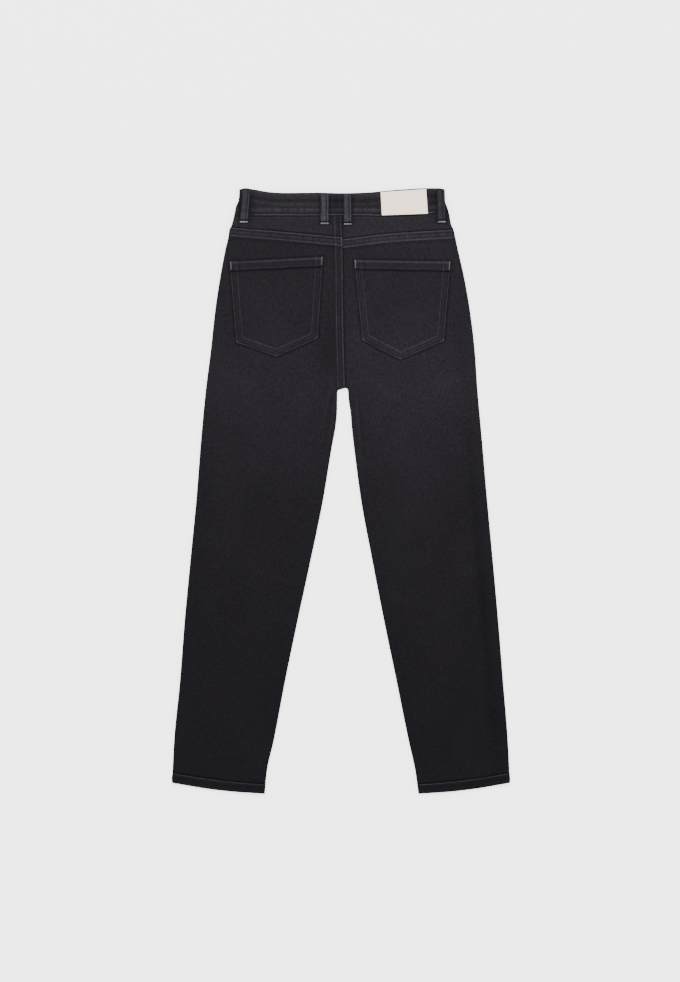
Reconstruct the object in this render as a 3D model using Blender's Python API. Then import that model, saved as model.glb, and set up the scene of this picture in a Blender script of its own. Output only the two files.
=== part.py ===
"""Slim jeans, laid flat with the back side up, as solid cut pieces.

Sizes and tables are in millimetres. A place on the garment is given by x, from
the middle towards the right leg's side, and by "down", measured from the waist
corners towards the hems. The finished meshes are in metres: +X is the right
side as seen from above, +Y points to the waist, +Z up, and the floor is z = 0.
"""
import math

import bmesh
import bpy
from mathutils import Vector

MM = 0.001
LENGTH = 982.0
HALF_LENGTH = LENGTH / 2.0

# Cloth walls and the gap that two pieces keep
CLOTH = 1.2
BAND_CLOTH = 2.2
HEM_CLOTH = 2.2
LOOP_CLOTH = 1.6
PATCH_CLOTH = 1.2
GAP = 0.3

# The back panels turn under at each edge, as far as the side seam and the inseam
EDGE_TURN = 3.0
WRAP = 11.0
WRAP_CLEAR = WRAP + GAP
RIM_ANGLES = (-90.0, -40.0, 0.0, 45.0, 90.0)

# Layers: how high the outer back face stands above the outer front face
SEAT_STACK = 4.8
LEG_STACK = 3.6
ANKLE_STACK = 4.4
BAND_STACK = 5.6
HEM_STACK = 5.0
EDGE_FULLNESS = 1.4
EDGE_REACH = 24.0

# The waist lies on the front belt loops and the button
WAIST_LIFT = 2.6
BUTTON_LIFT = 0.9
BUTTON_REACH = 40.0
LIFT_FULL_DOWN = 76.0
LIFT_END_DOWN = 200.0

# The waistband's ends lap at the centre front, and that lifts the band above them
CLOSURE_RISE = 2.6
CLOSURE_LEFT = (-52.0, -16.0)
CLOSURE_RIGHT = (38.0, 74.0)
CLOSURE_FADE = (50.0, 135.0)
OVERLAP_LEFT_END = 14.0
UNDERLAP_END = -12.0
UNDERLAP_RAMP = (20.0, 36.0)
UNDERLAP_RISE = BAND_CLOTH + GAP

# Flat-felled seams: the lapping panel stands proud over this width
FELL_WIDTH = 13.5
FELL_FADE = 5.0
FELL_RISE = 0.7

# The centre seam's lapping edge: down, x
CENTRE_SEAM = (
    (40.0, 1.6),
    (80.0, 2.4),
    (110.0, 3.0),
    (165.0, 3.6),
    (214.0, 4.2),
    (262.0, 5.0),
    (303.0, 6.4),
    (324.3, 6.6),
)
YOKE_POINT_X = 2.4

# The crotch notch between the legs: its top edge and its corner radii
NOTCH_DOWN = 324.3
NOTCH_CORNER = {"left": 5.0, "right": 3.5}
INSEAM_RIDGE = 0.9
INSEAM_RIDGE_INSET = 15.0
INSEAM_RIDGE_HALF = 7.0
INSEAM_RIDGE_FADE = (330.0, 520.0)

# Side edges: down, left x, right x
SIDE_EDGES = (
    (0.0, -164.5, 167.8),
    (14.0, -165.0, 168.2),
    (22.0, -166.5, 168.9),
    (30.0, -170.0, 171.8),
    (41.0, -172.3, 175.2),
    (59.0, -176.7, 178.6),
    (69.0, -181.0, 183.0),
    (79.0, -182.4, 185.1),
    (101.0, -187.5, 189.8),
    (143.0, -195.4, 199.4),
    (198.0, -203.8, 209.1),
    (263.0, -210.9, 216.9),
    (328.0, -219.1, 221.5),
    (409.0, -226.8, 228.7),
    (506.0, -234.5, 237.1),
    (603.0, -244.0, 246.2),
    (700.0, -253.2, 254.9),
    (798.0, -260.8, 262.7),
    (895.0, -270.3, 270.5),
    (982.0, -274.4, 274.6),
)

# Inner leg edges below the notch: down, left leg's x, right leg's x
INNER_EDGES = (
    (324.0, -5.8, 11.2),
    (344.0, -5.9, 12.5),
    (364.0, -6.3, 15.5),
    (383.0, -8.1, 17.0),
    (422.0, -15.0, 21.3),
    (506.0, -28.9, 32.5),
    (603.0, -48.9, 50.6),
    (700.0, -69.8, 69.5),
    (798.0, -90.1, 89.8),
    (895.0, -108.6, 109.5),
    (943.0, -119.5, 120.1),
    (982.0, -123.4, 125.6),
)

# Waistband at the back: x, down of the top edge, down of the bottom seam
BAND_BACK = (
    (-176.0, 3.0, 45.3),
    (-164.0, 2.4, 45.3),
    (-155.0, 0.4, 45.3),
    (-143.0, 2.2, 45.3),
    (-111.0, 7.2, 45.3),
    (-90.0, 8.1, 45.3),
    (-40.0, 7.8, 45.3),
    (0.0, 8.8, 45.0),
    (40.0, 7.8, 45.3),
    (61.0, 6.0, 45.8),
    (100.0, 2.6, 45.2),
    (145.0, 0.5, 41.8),
    (160.0, 0.6, 40.2),
    (168.0, 2.6, 39.8),
    (180.0, 3.0, 39.8),
)

BAND_NEAR_TOP = 5.0
BAND_NEAR_BOTTOM = 41.0
BAND_BACK_STEPS = 22
BAND_ROWS = 4
FRONT_STEP = 13.0
FRONT_LEFT_STEPS = 12
UNDERLAP_STEP = 5.0

# The front waist dips lower than the back: drop at the centre front, and the band's depth
FRONT_SIDE_DOWN = 3.0
FRONT_DROP = 22.0
FRONT_HALF_WIDTH = 168.0
FRONT_BAND_DEPTH = 37.5

# Yoke seam, the lapping edge: x, down
YOKE_SEAM_LEFT = ((-190.0, 63.0), (-94.0, 70.8), (YOKE_POINT_X, 79.8))
YOKE_SEAM_RIGHT = ((YOKE_POINT_X, 83.2), (77.0, 73.8), (190.0, 66.7))

YOKE_SIDE_DOWN = 64.0
YOKE_ROWS = 3

# The first lines of a back panel follow the yoke seam, this far below it
FELL_LINES = (0.0, 6.5, 13.5, 18.5)

# Lines across a seat panel: down at the side, down at the centre seam
SEAT_LINES = (
    (104.0, 116.0),
    (132.0, 142.0),
    (162.0, 170.0),
    (194.0, 200.0),
    (226.0, 230.0),
    (256.0, 260.0),
    (284.0, 286.0),
    (303.0, 306.0),
)
NOTCH_SIDE_DOWNS = (314.0, 319.0, 324.0, 329.0)

# Lines across a leg: down at the outer edge, down at the inner edge
LEG_LINES = (
    (338.0, 340.0),
    (356.0, 360.0),
    (380.0, 386.0),
    (412.0, 421.0),
    (448.0, 459.0),
    (486.0, 498.0),
    (526.0, 539.0),
    (568.0, 581.0),
    (610.0, 624.0),
    (652.0, 667.0),
    (694.0, 709.0),
    (736.0, 752.0),
    (778.0, 795.0),
    (820.0, 838.0),
    (862.0, 880.0),
    (900.0, 918.0),
    (928.0, 946.5),
)

# Hem turn-up: down at the outer edge and at the inner edge, and how far the line bows down
HEM_TOP = (946.8, 965.4)
HEM_BOTTOM = (963.4, 981.2)
HEM_ROWS = 3
HEM_BOW = 2.6
HEM_BULGE = 0.8
HEM_MIDDLE_COLUMNS = 4
LAST_LINE_BOW = 0.7

# Columns across a panel: distances in from an edge, then even steps between
EDGE_COLUMNS = (9.0, 17.0, 28.0)
SEAM_COLUMNS = (6.5, 13.5, 18.5, 28.0)
MIDDLE_COLUMNS = 6

# Front panels and the scooped pockets
FRONT_COLUMNS = 6
SCOOP_WIDTH = 88.0
SCOOP_TOP_DOWN = 53.0
SCOOP_DEPTH = 70.0
SCOOP_ANGLES = (0.0, 18.0, 36.0, 52.0, 67.0, 78.0, 82.5)
SCOOP_CENTRE_DOWNS = (63.0, 76.0, 88.0, 100.0, 112.0, 124.0, 134.0)
FACING_UNDERLAP = 8.0
FACING_INSET = 10.0
FACING_LINES = 7
FACING_COLUMNS = 4
FACING_END_ANGLE = 79.0

# Back pockets: corners as x, down, clockwise from the top left; the tip is below the bottom ones
POCKET_LEFT = {
    "top_left": (-180.5, 119.4), "top_right": (-28.7, 111.5),
    "bottom_right": (-37.4, 243.9), "tip": (-104.3, 273.8), "bottom_left": (-169.6, 250.7),
}
POCKET_RIGHT = {
    "top_left": (20.9, 116.4), "top_right": (178.0, 119.1),
    "bottom_right": (167.0, 248.2), "tip": (96.1, 278.7), "bottom_left": (34.8, 247.3),
}
POCKET_HEM_RISE = 0.5
POCKET_HEM_END = (0.09, 0.13)
POCKET_COLUMNS = 10
POCKET_ROWS = (0.0, 0.05, 0.09, 0.13, 0.26, 0.40, 0.55, 0.70, 0.85, 1.0)

# Belt loops: x of the middle at the top and at the bottom, width, down of both ends
BACK_LOOPS = {
    "loop_side_left": (-152.4, -157.4, 12.8, 3.2, 57.0),
    "loop_center_left": (-26.1, -26.4, 13.2, 10.2, 59.4),
    "loop_center_right": (10.4, 11.0, 12.8, 9.6, 60.6),
    "loop_side_right": (161.6, 163.4, 13.0, 3.0, 57.0),
}
FRONT_LOOPS = {
    "loop_front_left": (-78.0, -79.0, 12.8),
    "loop_front_right": (80.0, 81.0, 12.8),
}
LOOP_ARCH = 1.6
FRONT_LOOP_ARCH = 0.7
FRONT_LOOP_INSET = 1.5
FRONT_LOOP_PAST_BAND = 14.0
LOOP_STEPS = 10

# Patch on the waistband: corners as x, down
PATCH = {
    "top_left": (64.4, 7.2), "top_right": (137.8, 2.2),
    "bottom_left": (66.4, 44.5), "bottom_right": (140.6, 41.9),
}
PATCH_COLUMNS = 8
PATCH_ROWS = 4

# Button at the centre front, turned from a profile of radius and height
BUTTON_X = 2.0
BUTTON_DOWN = 44.0
BUTTON_PROFILE = (
    (0.0, 0.0),
    (6.2, 0.0),
    (7.8, 0.4),
    (8.5, 1.1),
    (8.2, 1.7),
    (4.0, 1.9),
    (3.4, 3.1),
    (0.0, 3.1),
)
BUTTON_SIDES = 28

# Colours, linear, with roughness and metallic
FINISHES = {
    "black_denim": ((0.022, 0.020, 0.025), 0.85, 0.0),
    "worn_denim": ((0.030, 0.028, 0.034), 0.85, 0.0),
    "loop_denim": ((0.048, 0.045, 0.053), 0.85, 0.0),
    "cream_patch": ((0.76, 0.69, 0.60), 0.7, 0.0),
    "dark_metal": ((0.10, 0.095, 0.09), 0.4, 1.0),
}


def smooth_step(low, high, value):
    """Return 0 below low, 1 above high, and a soft ramp between."""
    t = min(max((value - low) / (high - low), 0.0), 1.0)
    return t * t * (3.0 - 2.0 * t)


def curve(rows, column):
    """Return a function through one column of a table, with no overshoot between rows."""
    xs = [row[0] for row in rows]
    ys = [row[column] for row in rows]
    secants = [(ys[i + 1] - ys[i]) / (xs[i + 1] - xs[i]) for i in range(len(xs) - 1)]
    slopes = [secants[0]]
    for before, after in zip(secants, secants[1:]):
        same_way = before * after > 0.0
        slopes.append(2.0 * before * after / (before + after) if same_way else 0.0)
    slopes.append(secants[-1])

    def value(x):
        if x <= xs[0]:
            return ys[0]
        if x >= xs[-1]:
            return ys[-1]
        i = max(k for k in range(len(xs) - 1) if xs[k] <= x)
        step = xs[i + 1] - xs[i]
        t = (x - xs[i]) / step
        start = (1.0 + 2.0 * t) * (1.0 - t) ** 2 * ys[i] + t * (1.0 - t) ** 2 * step * slopes[i]
        end = t * t * (3.0 - 2.0 * t) * ys[i + 1] + t * t * (t - 1.0) * step * slopes[i + 1]
        return start + end

    return value


outer_edge = {"left": curve(SIDE_EDGES, 1), "right": curve(SIDE_EDGES, 2)}
inner_edge = {"left": curve(INNER_EDGES, 1), "right": curve(INNER_EDGES, 2)}
band_top_down = curve(BAND_BACK, 1)
band_bottom_down = curve(BAND_BACK, 2)
yoke_seam_down = {"left": curve(YOKE_SEAM_LEFT, 1), "right": curve(YOKE_SEAM_RIGHT, 1)}
centre_seam_x = curve(CENTRE_SEAM, 1)
INWARD = {"left": 1.0, "right": -1.0}


def seam_point(side, down):
    """Return the centre end of a line across the seat; the right side keeps the gap."""
    return (centre_seam_x(down) + (GAP if side == "right" else 0.0), down)


def front_band_top_down(x):
    """Return the down of the waistband's top edge on the front."""
    across = min(abs(x) / FRONT_HALF_WIDTH, 1.0)
    return FRONT_SIDE_DOWN + FRONT_DROP * (1.0 - across * across)


def front_band_bottom_down(x):
    """Return the down of the waistband's bottom seam on the front."""
    return max(front_band_top_down(x) + FRONT_BAND_DEPTH, band_bottom_down(x))


def lift(x, down):
    """Return how high the front's outer face stands above the floor."""
    on_button = BUTTON_LIFT * math.exp(-((x - BUTTON_X) / BUTTON_REACH) ** 2)
    return (WAIST_LIFT + on_button) * (1.0 - smooth_step(LIFT_FULL_DOWN, LIFT_END_DOWN, down))


def closure(x, down):
    """Return the rise over the lapped ends of the waistband."""
    across = smooth_step(*CLOSURE_LEFT, x) * (1.0 - smooth_step(*CLOSURE_RIGHT, x))
    return CLOSURE_RISE * across * (1.0 - smooth_step(*CLOSURE_FADE, down))


def notch_distance(x, down):
    """Return the distance to the notch or to the nearest inner leg edge."""
    left = inner_edge["left"](down)
    right = inner_edge["right"](down)
    beside = max(left - x, x - right, 0.0)
    if down >= NOTCH_DOWN:
        return beside
    return math.hypot(beside, NOTCH_DOWN - down)


def edge_fullness(x, down):
    """Return the extra height near the folded edges."""
    beside = min(x - outer_edge["left"](down), outer_edge["right"](down) - x)
    nearest = max(min(beside, notch_distance(x, down)), 0.0)
    return EDGE_FULLNESS * math.exp(-(nearest / EDGE_REACH) ** 2)


def body_stack(down):
    """Return the height of the layers in the middle of the seat or the leg."""
    to_leg = smooth_step(140.0, 420.0, down)
    to_ankle = smooth_step(900.0, 946.0, down)
    stack = SEAT_STACK + (LEG_STACK - SEAT_STACK) * to_leg
    return stack + (ANKLE_STACK - LEG_STACK) * to_ankle


def fell(distance):
    """Return the rise of a lapping panel at a distance from its seam edge."""
    if distance < 0.0:
        return 0.0
    return FELL_RISE * (1.0 - smooth_step(FELL_WIDTH, FELL_WIDTH + FELL_FADE, distance))


def inseam_ridge(x, down):
    """Return the ridge that the inseam below presses up inside each leg's inner edge."""
    inset = notch_distance(x, down) - INSEAM_RIDGE_INSET
    fade = 1.0 - smooth_step(*INSEAM_RIDGE_FADE, down)
    below_notch = smooth_step(NOTCH_DOWN - 12.0, NOTCH_DOWN + 12.0, down)
    return INSEAM_RIDGE * fade * below_notch * math.exp(-(inset / INSEAM_RIDGE_HALF) ** 2)


def panel_top(side, x, down):
    """Return the height of a back panel's outer face."""
    height = lift(x, down) + body_stack(down) + closure(x, down) + edge_fullness(x, down)
    yoke_fell = fell(down - yoke_seam_down[side](x))
    seat_fell = 0.0
    if side == "left" and down < NOTCH_DOWN + 2.0:
        seat_fell = fell(centre_seam_x(down) - x)
    return height + max(yoke_fell, seat_fell) + inseam_ridge(x, down)


def yoke_top(side, x, down):
    """Return the height of a yoke's outer face."""
    height = lift(x, down) + body_stack(down) + closure(x, down) + edge_fullness(x, down)
    seat_fell = fell(centre_seam_x(down) - x) if side == "left" else 0.0
    return height + seat_fell


def band_top(x, down):
    """Return the height of the waistband's outer face on the back."""
    return lift(x, down) + BAND_STACK + closure(x, down) + edge_fullness(x, down)


def hem_top(x, down):
    """Return the height of a hem turn-up's outer face on the back."""
    return HEM_STACK + edge_fullness(x, down)


def place(x, down, z):
    """Return a finished point in metres."""
    return Vector((x * MM, (HALF_LENGTH - down) * MM, z * MM))


class Sheet:
    """Rows of points joined by quads: the outer face of a piece of cloth."""

    def __init__(self, flip):
        self.points = []
        self.faces = []
        self.flip = flip

    def row(self, points):
        """Add points and return their numbers."""
        first = len(self.points)
        self.points.extend(points)
        return list(range(first, len(self.points)))

    def strip(self, upper, lower):
        """Join two rows of the same length with quads."""
        for i in range(len(upper) - 1):
            quad = (upper[i], lower[i], lower[i + 1], upper[i + 1])
            self.faces.append(tuple(reversed(quad)) if self.flip else quad)

    def grid(self, rows, closed=False):
        """Add rows of points and join each to the next."""
        numbers = [self.row(points) for points in rows]
        if closed:
            numbers = [row + row[:1] for row in numbers]
        for upper, lower in zip(numbers, numbers[1:]):
            self.strip(upper, lower)


def add_object(name, mesh, finish):
    """Link a mesh to the scene as a named object with its own material."""
    colour, roughness, metallic = FINISHES[finish]
    material = bpy.data.materials.new(name + "_" + finish)
    material.use_nodes = True
    shader = material.node_tree.nodes["Principled BSDF"]
    shader.inputs["Base Color"].default_value = (*colour, 1.0)
    shader.inputs["Roughness"].default_value = roughness
    shader.inputs["Metallic"].default_value = metallic
    mesh.materials.append(material)
    mesh.shade_smooth()
    mesh.set_sharp_from_angle(angle=math.radians(50.0))
    piece = bpy.data.objects.new(name, mesh)
    bpy.context.scene.collection.objects.link(piece)
    return piece


def add_cloth(name, sheet, thickness, finish):
    """Turn a sheet into cloth of one thickness, grown inwards from its outer face."""
    mesh = bpy.data.meshes.new(name)
    mesh.from_pydata(sheet.points, [], sheet.faces)
    mesh.update()
    piece = add_object(name, mesh, finish)
    wall = piece.modifiers.new("wall", "SOLIDIFY")
    wall.thickness = thickness * MM
    wall.offset = -1.0
    wall.use_even_offset = True
    wall.use_rim = True
    return piece


class Line:
    """One line across a panel, from its outer edge to its inner edge or centre seam."""

    def __init__(self, side, outer_down, inner, bow=0.0, normal=None):
        self.side = side
        self.outer = (outer_edge[side](outer_down), outer_down)
        self.inner = inner
        self.bow = bow
        self.normal = normal
        run_x = inner[0] - self.outer[0]
        run_down = inner[1] - self.outer[1]
        self.width = math.hypot(run_x, run_down)
        self.way = (run_x / self.width, run_down / self.width)

    def at(self, distance):
        """Return x and down at a distance in from the outer edge."""
        share = distance / self.width
        sag = 4.0 * self.bow * share * (1.0 - share)
        return (self.outer[0] + self.way[0] * distance, self.outer[1] + self.way[1] * distance + sag)

    def from_inner(self, distance):
        """Return x and down at a distance in from the inner edge, along its own normal."""
        if self.normal is None:
            return self.at(self.width - distance)
        return (self.inner[0] + self.normal[0] * distance, self.inner[1] + self.normal[1] * distance)

    def across(self, first, last, near_outer, near_inner, middle):
        """Return points from one distance to another, with the named columns near both ends."""
        start = self.at(first)
        end = self.from_inner(last) if last > 0.0 else self.inner
        length = math.hypot(end[0] - start[0], end[1] - start[1])
        steps = [0.0] + [(d - first) / length for d in near_outer]
        tail = [1.0 - (d - last) / length for d in reversed(near_inner)] + [1.0]
        low = steps[-1]
        high = tail[0]
        steps += [low + (high - low) * (k + 1) / (middle + 1) for k in range(middle)]
        steps += tail
        points = []
        for share in steps:
            x = start[0] + (end[0] - start[0]) * share
            sag = 4.0 * self.bow * share * (1.0 - share)
            points.append((x, start[1] + (end[1] - start[1]) * share + sag))
        return points


def rim(position, top, bottom_first=True):
    """Return the points of a folded edge, from under the piece round to its outer face."""
    turn = position(EDGE_TURN)
    half_height = (top(*turn) - lift(*turn)) / 2.0
    x, down = position(WRAP)
    points = [place(x, down, lift(x, down))]
    for angle in RIM_ANGLES:
        turned = math.radians(angle)
        x, down = position(EDGE_TURN * (1.0 - math.cos(turned)))
        points.append(place(x, down, lift(*turn) + half_height * (1.0 + math.sin(turned))))
    return points if bottom_first else points[::-1]


def notch_lines(side):
    """Return the lines that end on the notch: at the centre seam, then round its corner."""
    towards = INWARD[side]
    corner_x = inner_edge[side](NOTCH_DOWN)
    radius = NOTCH_CORNER[side]
    centre = (corner_x + towards * radius, NOTCH_DOWN + radius)
    lines = [Line(side, NOTCH_SIDE_DOWNS[0], seam_point(side, NOTCH_DOWN), normal=(0.0, -1.0))]
    for side_down, angle in zip(NOTCH_SIDE_DOWNS[1:], (90.0, 45.0, 0.0)):
        turned = math.radians(angle)
        normal = (-towards * math.cos(turned), -math.sin(turned))
        point = (centre[0] + normal[0] * radius, centre[1] + normal[1] * radius)
        lines.append(Line(side, side_down, point, normal=normal))
    return lines


def leg_line(side, outer_down, inner_down, bow=0.0):
    """Return a line across a leg."""
    return Line(side, outer_down, (inner_edge[side](inner_down), inner_down), bow)


def leg_lines(side):
    """Return the lines across a leg, down to the hem turn-up."""
    lines = [leg_line(side, *downs) for downs in LEG_LINES]
    lines[-1].bow = HEM_BOW * LAST_LINE_BOW
    return lines + [leg_line(side, *HEM_TOP, bow=HEM_BOW)]


def back_panel(side):
    """Build a back panel: the seat, and the back of the leg turned under at both edges."""
    seam_at = yoke_seam_down[side]
    seat = []
    for below in FELL_LINES:
        side_down = seam_at(outer_edge[side](YOKE_SIDE_DOWN)) + below
        seat.append(Line(side, side_down, seam_point(side, seam_at(YOKE_POINT_X) + below)))
    seat += [Line(side, side_down, seam_point(side, seam_down)) for side_down, seam_down in SEAT_LINES]
    seat_count = len(seat)
    lines = seat + notch_lines(side) + leg_lines(side)

    def top(x, down):
        return panel_top(side, x, down)

    sheet = Sheet(flip=side == "right")
    above = None
    above_rim = None
    for number, line in enumerate(lines):
        folded = number >= seat_count
        last = EDGE_TURN if folded else 0.0
        flat = line.across(EDGE_TURN, last, EDGE_COLUMNS, SEAM_COLUMNS, MIDDLE_COLUMNS)
        if number < len(FELL_LINES):
            flat = [(x, seam_at(x) + FELL_LINES[number]) for x, down in flat]
        points = rim(line.at, top)[:-1] + [place(x, down, top(x, down)) for x, down in flat]
        main = sheet.row(points)
        if above:
            sheet.strip(above, main)
        above = main
        if folded:
            edge = [main[-1]] + sheet.row(rim(line.from_inner, top, bottom_first=False)[1:])
            if above_rim:
                sheet.strip(above_rim, edge)
            above_rim = edge
    return add_cloth("back_panel_" + side, sheet, CLOTH, "black_denim")


def yoke(side):
    """Build a yoke, between the waistband's seam and the back panel, turned under at the side."""
    side_x = outer_edge[side](BAND_NEAR_BOTTOM)

    def top(x, down):
        return yoke_top(side, x, down)

    sheet = Sheet(flip=side == "right")
    rows = []
    for step in range(YOKE_ROWS + 1):
        share = step / YOKE_ROWS
        upper_side = band_bottom_down(side_x) + GAP
        lower_side = yoke_seam_down[side](outer_edge[side](YOKE_SIDE_DOWN)) - GAP
        upper_seam = band_bottom_down(YOKE_POINT_X) + GAP
        lower_seam = yoke_seam_down[side](YOKE_POINT_X) - GAP
        line = Line(side, upper_side + (lower_side - upper_side) * share,
                    seam_point(side, upper_seam + (lower_seam - upper_seam) * share))
        flat = []
        for x, down in line.across(EDGE_TURN, 0.0, EDGE_COLUMNS, SEAM_COLUMNS, MIDDLE_COLUMNS):
            upper = band_bottom_down(x) + GAP
            lower = yoke_seam_down[side](x) - GAP
            flat.append((x, upper + (lower - upper) * share))
        rows.append(rim(line.at, top)[:-1] + [place(x, down, top(x, down)) for x, down in flat])
    sheet.grid(rows)
    return add_cloth("yoke_" + side, sheet, CLOTH, "worn_denim")


def waistband_stations():
    """Return the waistband's stations round the waist, from its left front end to its right one.

    Each station is a function of the share of the band's depth, 0 at the top edge.
    """
    def front(x, rise=0.0):
        def point(share):
            top_down = front_band_top_down(x)
            down = top_down + (front_band_bottom_down(x) - top_down) * share
            return place(x, down, lift(x, down) + rise)
        return point

    def back_x(down, across):
        left = outer_edge["left"](down) + EDGE_TURN
        right = outer_edge["right"](down) - EDGE_TURN
        return left + (right - left) * across

    def band_down(across, share):
        top_down = band_top_down(back_x(BAND_NEAR_TOP, across))
        bottom = band_bottom_down(back_x(BAND_NEAR_BOTTOM, across))
        return top_down + (bottom - top_down) * share

    def back(across):
        def point(share):
            down = band_down(across, share)
            x = back_x(down, across)
            return place(x, down, band_top(x, down))
        return point

    def side_fold(side, angle, distance=None):
        def point(share):
            down = band_down(0.0 if side == "left" else 1.0, share)
            edge_x = outer_edge[side](down)
            turn_x = edge_x + INWARD[side] * EDGE_TURN
            half_height = (band_top(turn_x, down) - lift(turn_x, down)) / 2.0
            turned = math.radians(angle)
            inset = EDGE_TURN * (1.0 - math.cos(turned)) if distance is None else distance
            x = edge_x + INWARD[side] * inset
            return place(x, down, lift(x, down) + half_height * (1.0 + math.sin(turned)))
        return point

    left_front_x = [OVERLAP_LEFT_END - FRONT_STEP * step for step in range(FRONT_LEFT_STEPS)]
    stations = [front(x) for x in left_front_x + [outer_edge["left"](BAND_NEAR_BOTTOM) + 2.0 * WRAP]]
    stations.append(side_fold("left", RIM_ANGLES[0], WRAP_CLEAR))
    stations += [side_fold("left", angle) for angle in RIM_ANGLES]
    stations += [back(step / BAND_BACK_STEPS) for step in range(1, BAND_BACK_STEPS)]
    stations += [side_fold("right", angle) for angle in reversed(RIM_ANGLES)]
    stations.append(side_fold("right", RIM_ANGLES[0], WRAP_CLEAR))
    x = outer_edge["right"](BAND_NEAR_BOTTOM) - 2.0 * WRAP
    while x > UNDERLAP_END:
        rise = UNDERLAP_RISE * (1.0 - smooth_step(*UNDERLAP_RAMP, x))
        stations.append(front(x, rise))
        x -= FRONT_STEP if x > UNDERLAP_RAMP[1] + FRONT_STEP else UNDERLAP_STEP
    stations.append(front(UNDERLAP_END, UNDERLAP_RISE))
    return stations


def waistband():
    """Build the waistband: one strip all round, lapped at the centre front."""
    stations = waistband_stations()
    sheet = Sheet(flip=False)
    sheet.grid([[point(step / BAND_ROWS) for point in stations] for step in range(BAND_ROWS + 1)])
    return add_cloth("waistband", sheet, BAND_CLOTH, "worn_denim")


def front_panel(side):
    """Build a front panel, flat on the floor, with the scooped pocket opening cut out."""
    inward = INWARD[side]
    sheet = Sheet(flip=side == "left")
    rows = []

    def flat_row(start, end, bow=0.0):
        row = []
        for step in range(FRONT_COLUMNS + 1):
            share = step / FRONT_COLUMNS
            x = start[0] + (end[0] - start[0]) * share
            down = start[1] + (end[1] - start[1]) * share + 4.0 * bow * share * (1.0 - share)
            row.append((x, down))
        return row

    for angle, centre_down in zip(SCOOP_ANGLES, SCOOP_CENTRE_DOWNS):
        turned = math.radians(angle)
        down = SCOOP_TOP_DOWN + SCOOP_DEPTH * math.sin(turned)
        start = (outer_edge[side](down) + inward * SCOOP_WIDTH * math.cos(turned), down)
        row = flat_row(start, seam_point(side, centre_down))
        if angle == SCOOP_ANGLES[0]:
            row = [(x, front_band_bottom_down(x) + GAP) for x, _ in row]
        rows.append(row)
    for side_down, seam_down in SEAT_LINES[1:]:
        line = Line(side, side_down, seam_point(side, seam_down))
        rows.append(flat_row(line.at(WRAP_CLEAR), line.inner))
    for line in notch_lines(side) + leg_lines(side):
        rows.append(flat_row(line.at(WRAP_CLEAR), line.from_inner(WRAP_CLEAR), line.bow))
    sheet.grid([[place(x, down, lift(x, down)) for x, down in row] for row in rows])
    return add_cloth("front_panel_" + side, sheet, CLOTH, "black_denim")


def pocket_facing(side):
    """Build the facing seen in a scooped pocket opening, one layer inside the front panel."""
    inward = INWARD[side]
    sheet = Sheet(flip=side == "left")
    rows = []
    for step in range(FACING_LINES + 1):
        share = step / FACING_LINES
        turned = math.radians(FACING_END_ANGLE * share)
        end_down = SCOOP_TOP_DOWN + (SCOOP_DEPTH + FACING_UNDERLAP) * math.sin(turned)
        end_x = outer_edge[side](end_down) + inward * (SCOOP_WIDTH + FACING_UNDERLAP) * math.cos(turned)
        start_x = outer_edge[side](end_down) + inward * FACING_INSET
        row = []
        for column in range(FACING_COLUMNS + 1):
            across = column / FACING_COLUMNS
            x = start_x + (end_x - start_x) * across
            down = front_band_bottom_down(x) + 2.0 * GAP if step == 0 else end_down
            row.append(place(x, down, lift(x, down) + CLOTH + GAP))
        rows.append(row)
    sheet.grid(rows)
    return add_cloth("pocket_facing_" + side, sheet, CLOTH, "black_denim")


def hem(side):
    """Build the hem turn-up: a ring round the flattened leg end."""
    sheet = Sheet(flip=side == "right")
    rows = []
    for step in range(HEM_ROWS + 1):
        share = step / HEM_ROWS
        first = GAP if step == 0 else 0.0
        downs = [HEM_TOP[k] + first + (HEM_BOTTOM[k] - HEM_TOP[k]) * share for k in (0, 1)]
        line = leg_line(side, *downs, bow=HEM_BOW)
        bulge = HEM_BULGE * math.sin(math.pi * share)
        line.outer = (line.outer[0] - INWARD[side] * bulge, line.outer[1])
        line.width += bulge

        flat = line.across(EDGE_TURN, EDGE_TURN, EDGE_COLUMNS, EDGE_COLUMNS, HEM_MIDDLE_COLUMNS)
        ring = rim(line.at, hem_top)[:-1]
        ring += [place(x, down, hem_top(x, down)) for x, down in flat]
        ring += rim(line.from_inner, hem_top, bottom_first=False)[1:]
        under = line.across(WRAP, WRAP, (), (), HEM_MIDDLE_COLUMNS)[1:-1]
        ring += [place(x, down, 0.0) for x, down in reversed(under)]
        rows.append(ring)
    sheet.grid(rows, closed=True)
    return add_cloth("hem_" + side, sheet, HEM_CLOTH, "worn_denim")


def back_pocket(side, corners):
    """Build a patch pocket from the points of the panel below it, moved out."""
    sheet = Sheet(flip=False)
    rows = []
    for share in POCKET_ROWS:
        row = []
        for column in range(POCKET_COLUMNS + 1):
            across = column / POCKET_COLUMNS
            top_x = corners["top_left"][0] + (corners["top_right"][0] - corners["top_left"][0]) * across
            top_down = corners["top_left"][1] + (corners["top_right"][1] - corners["top_left"][1]) * across
            if across < 0.5:
                start, end, part = corners["bottom_left"], corners["tip"], across * 2.0
            else:
                start, end, part = corners["tip"], corners["bottom_right"], across * 2.0 - 1.0
            low_x = start[0] + (end[0] - start[0]) * part
            low_down = start[1] + (end[1] - start[1]) * part
            x = top_x + (low_x - top_x) * share
            down = top_down + (low_down - top_down) * share
            hem_rise = POCKET_HEM_RISE * (1.0 - smooth_step(*POCKET_HEM_END, share))
            row.append(place(x, down, panel_top(side, x, down) + GAP + CLOTH + hem_rise))
        rows.append(row)
    sheet.grid(rows)
    return add_cloth("back_pocket_" + side, sheet, CLOTH, "worn_denim")


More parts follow.
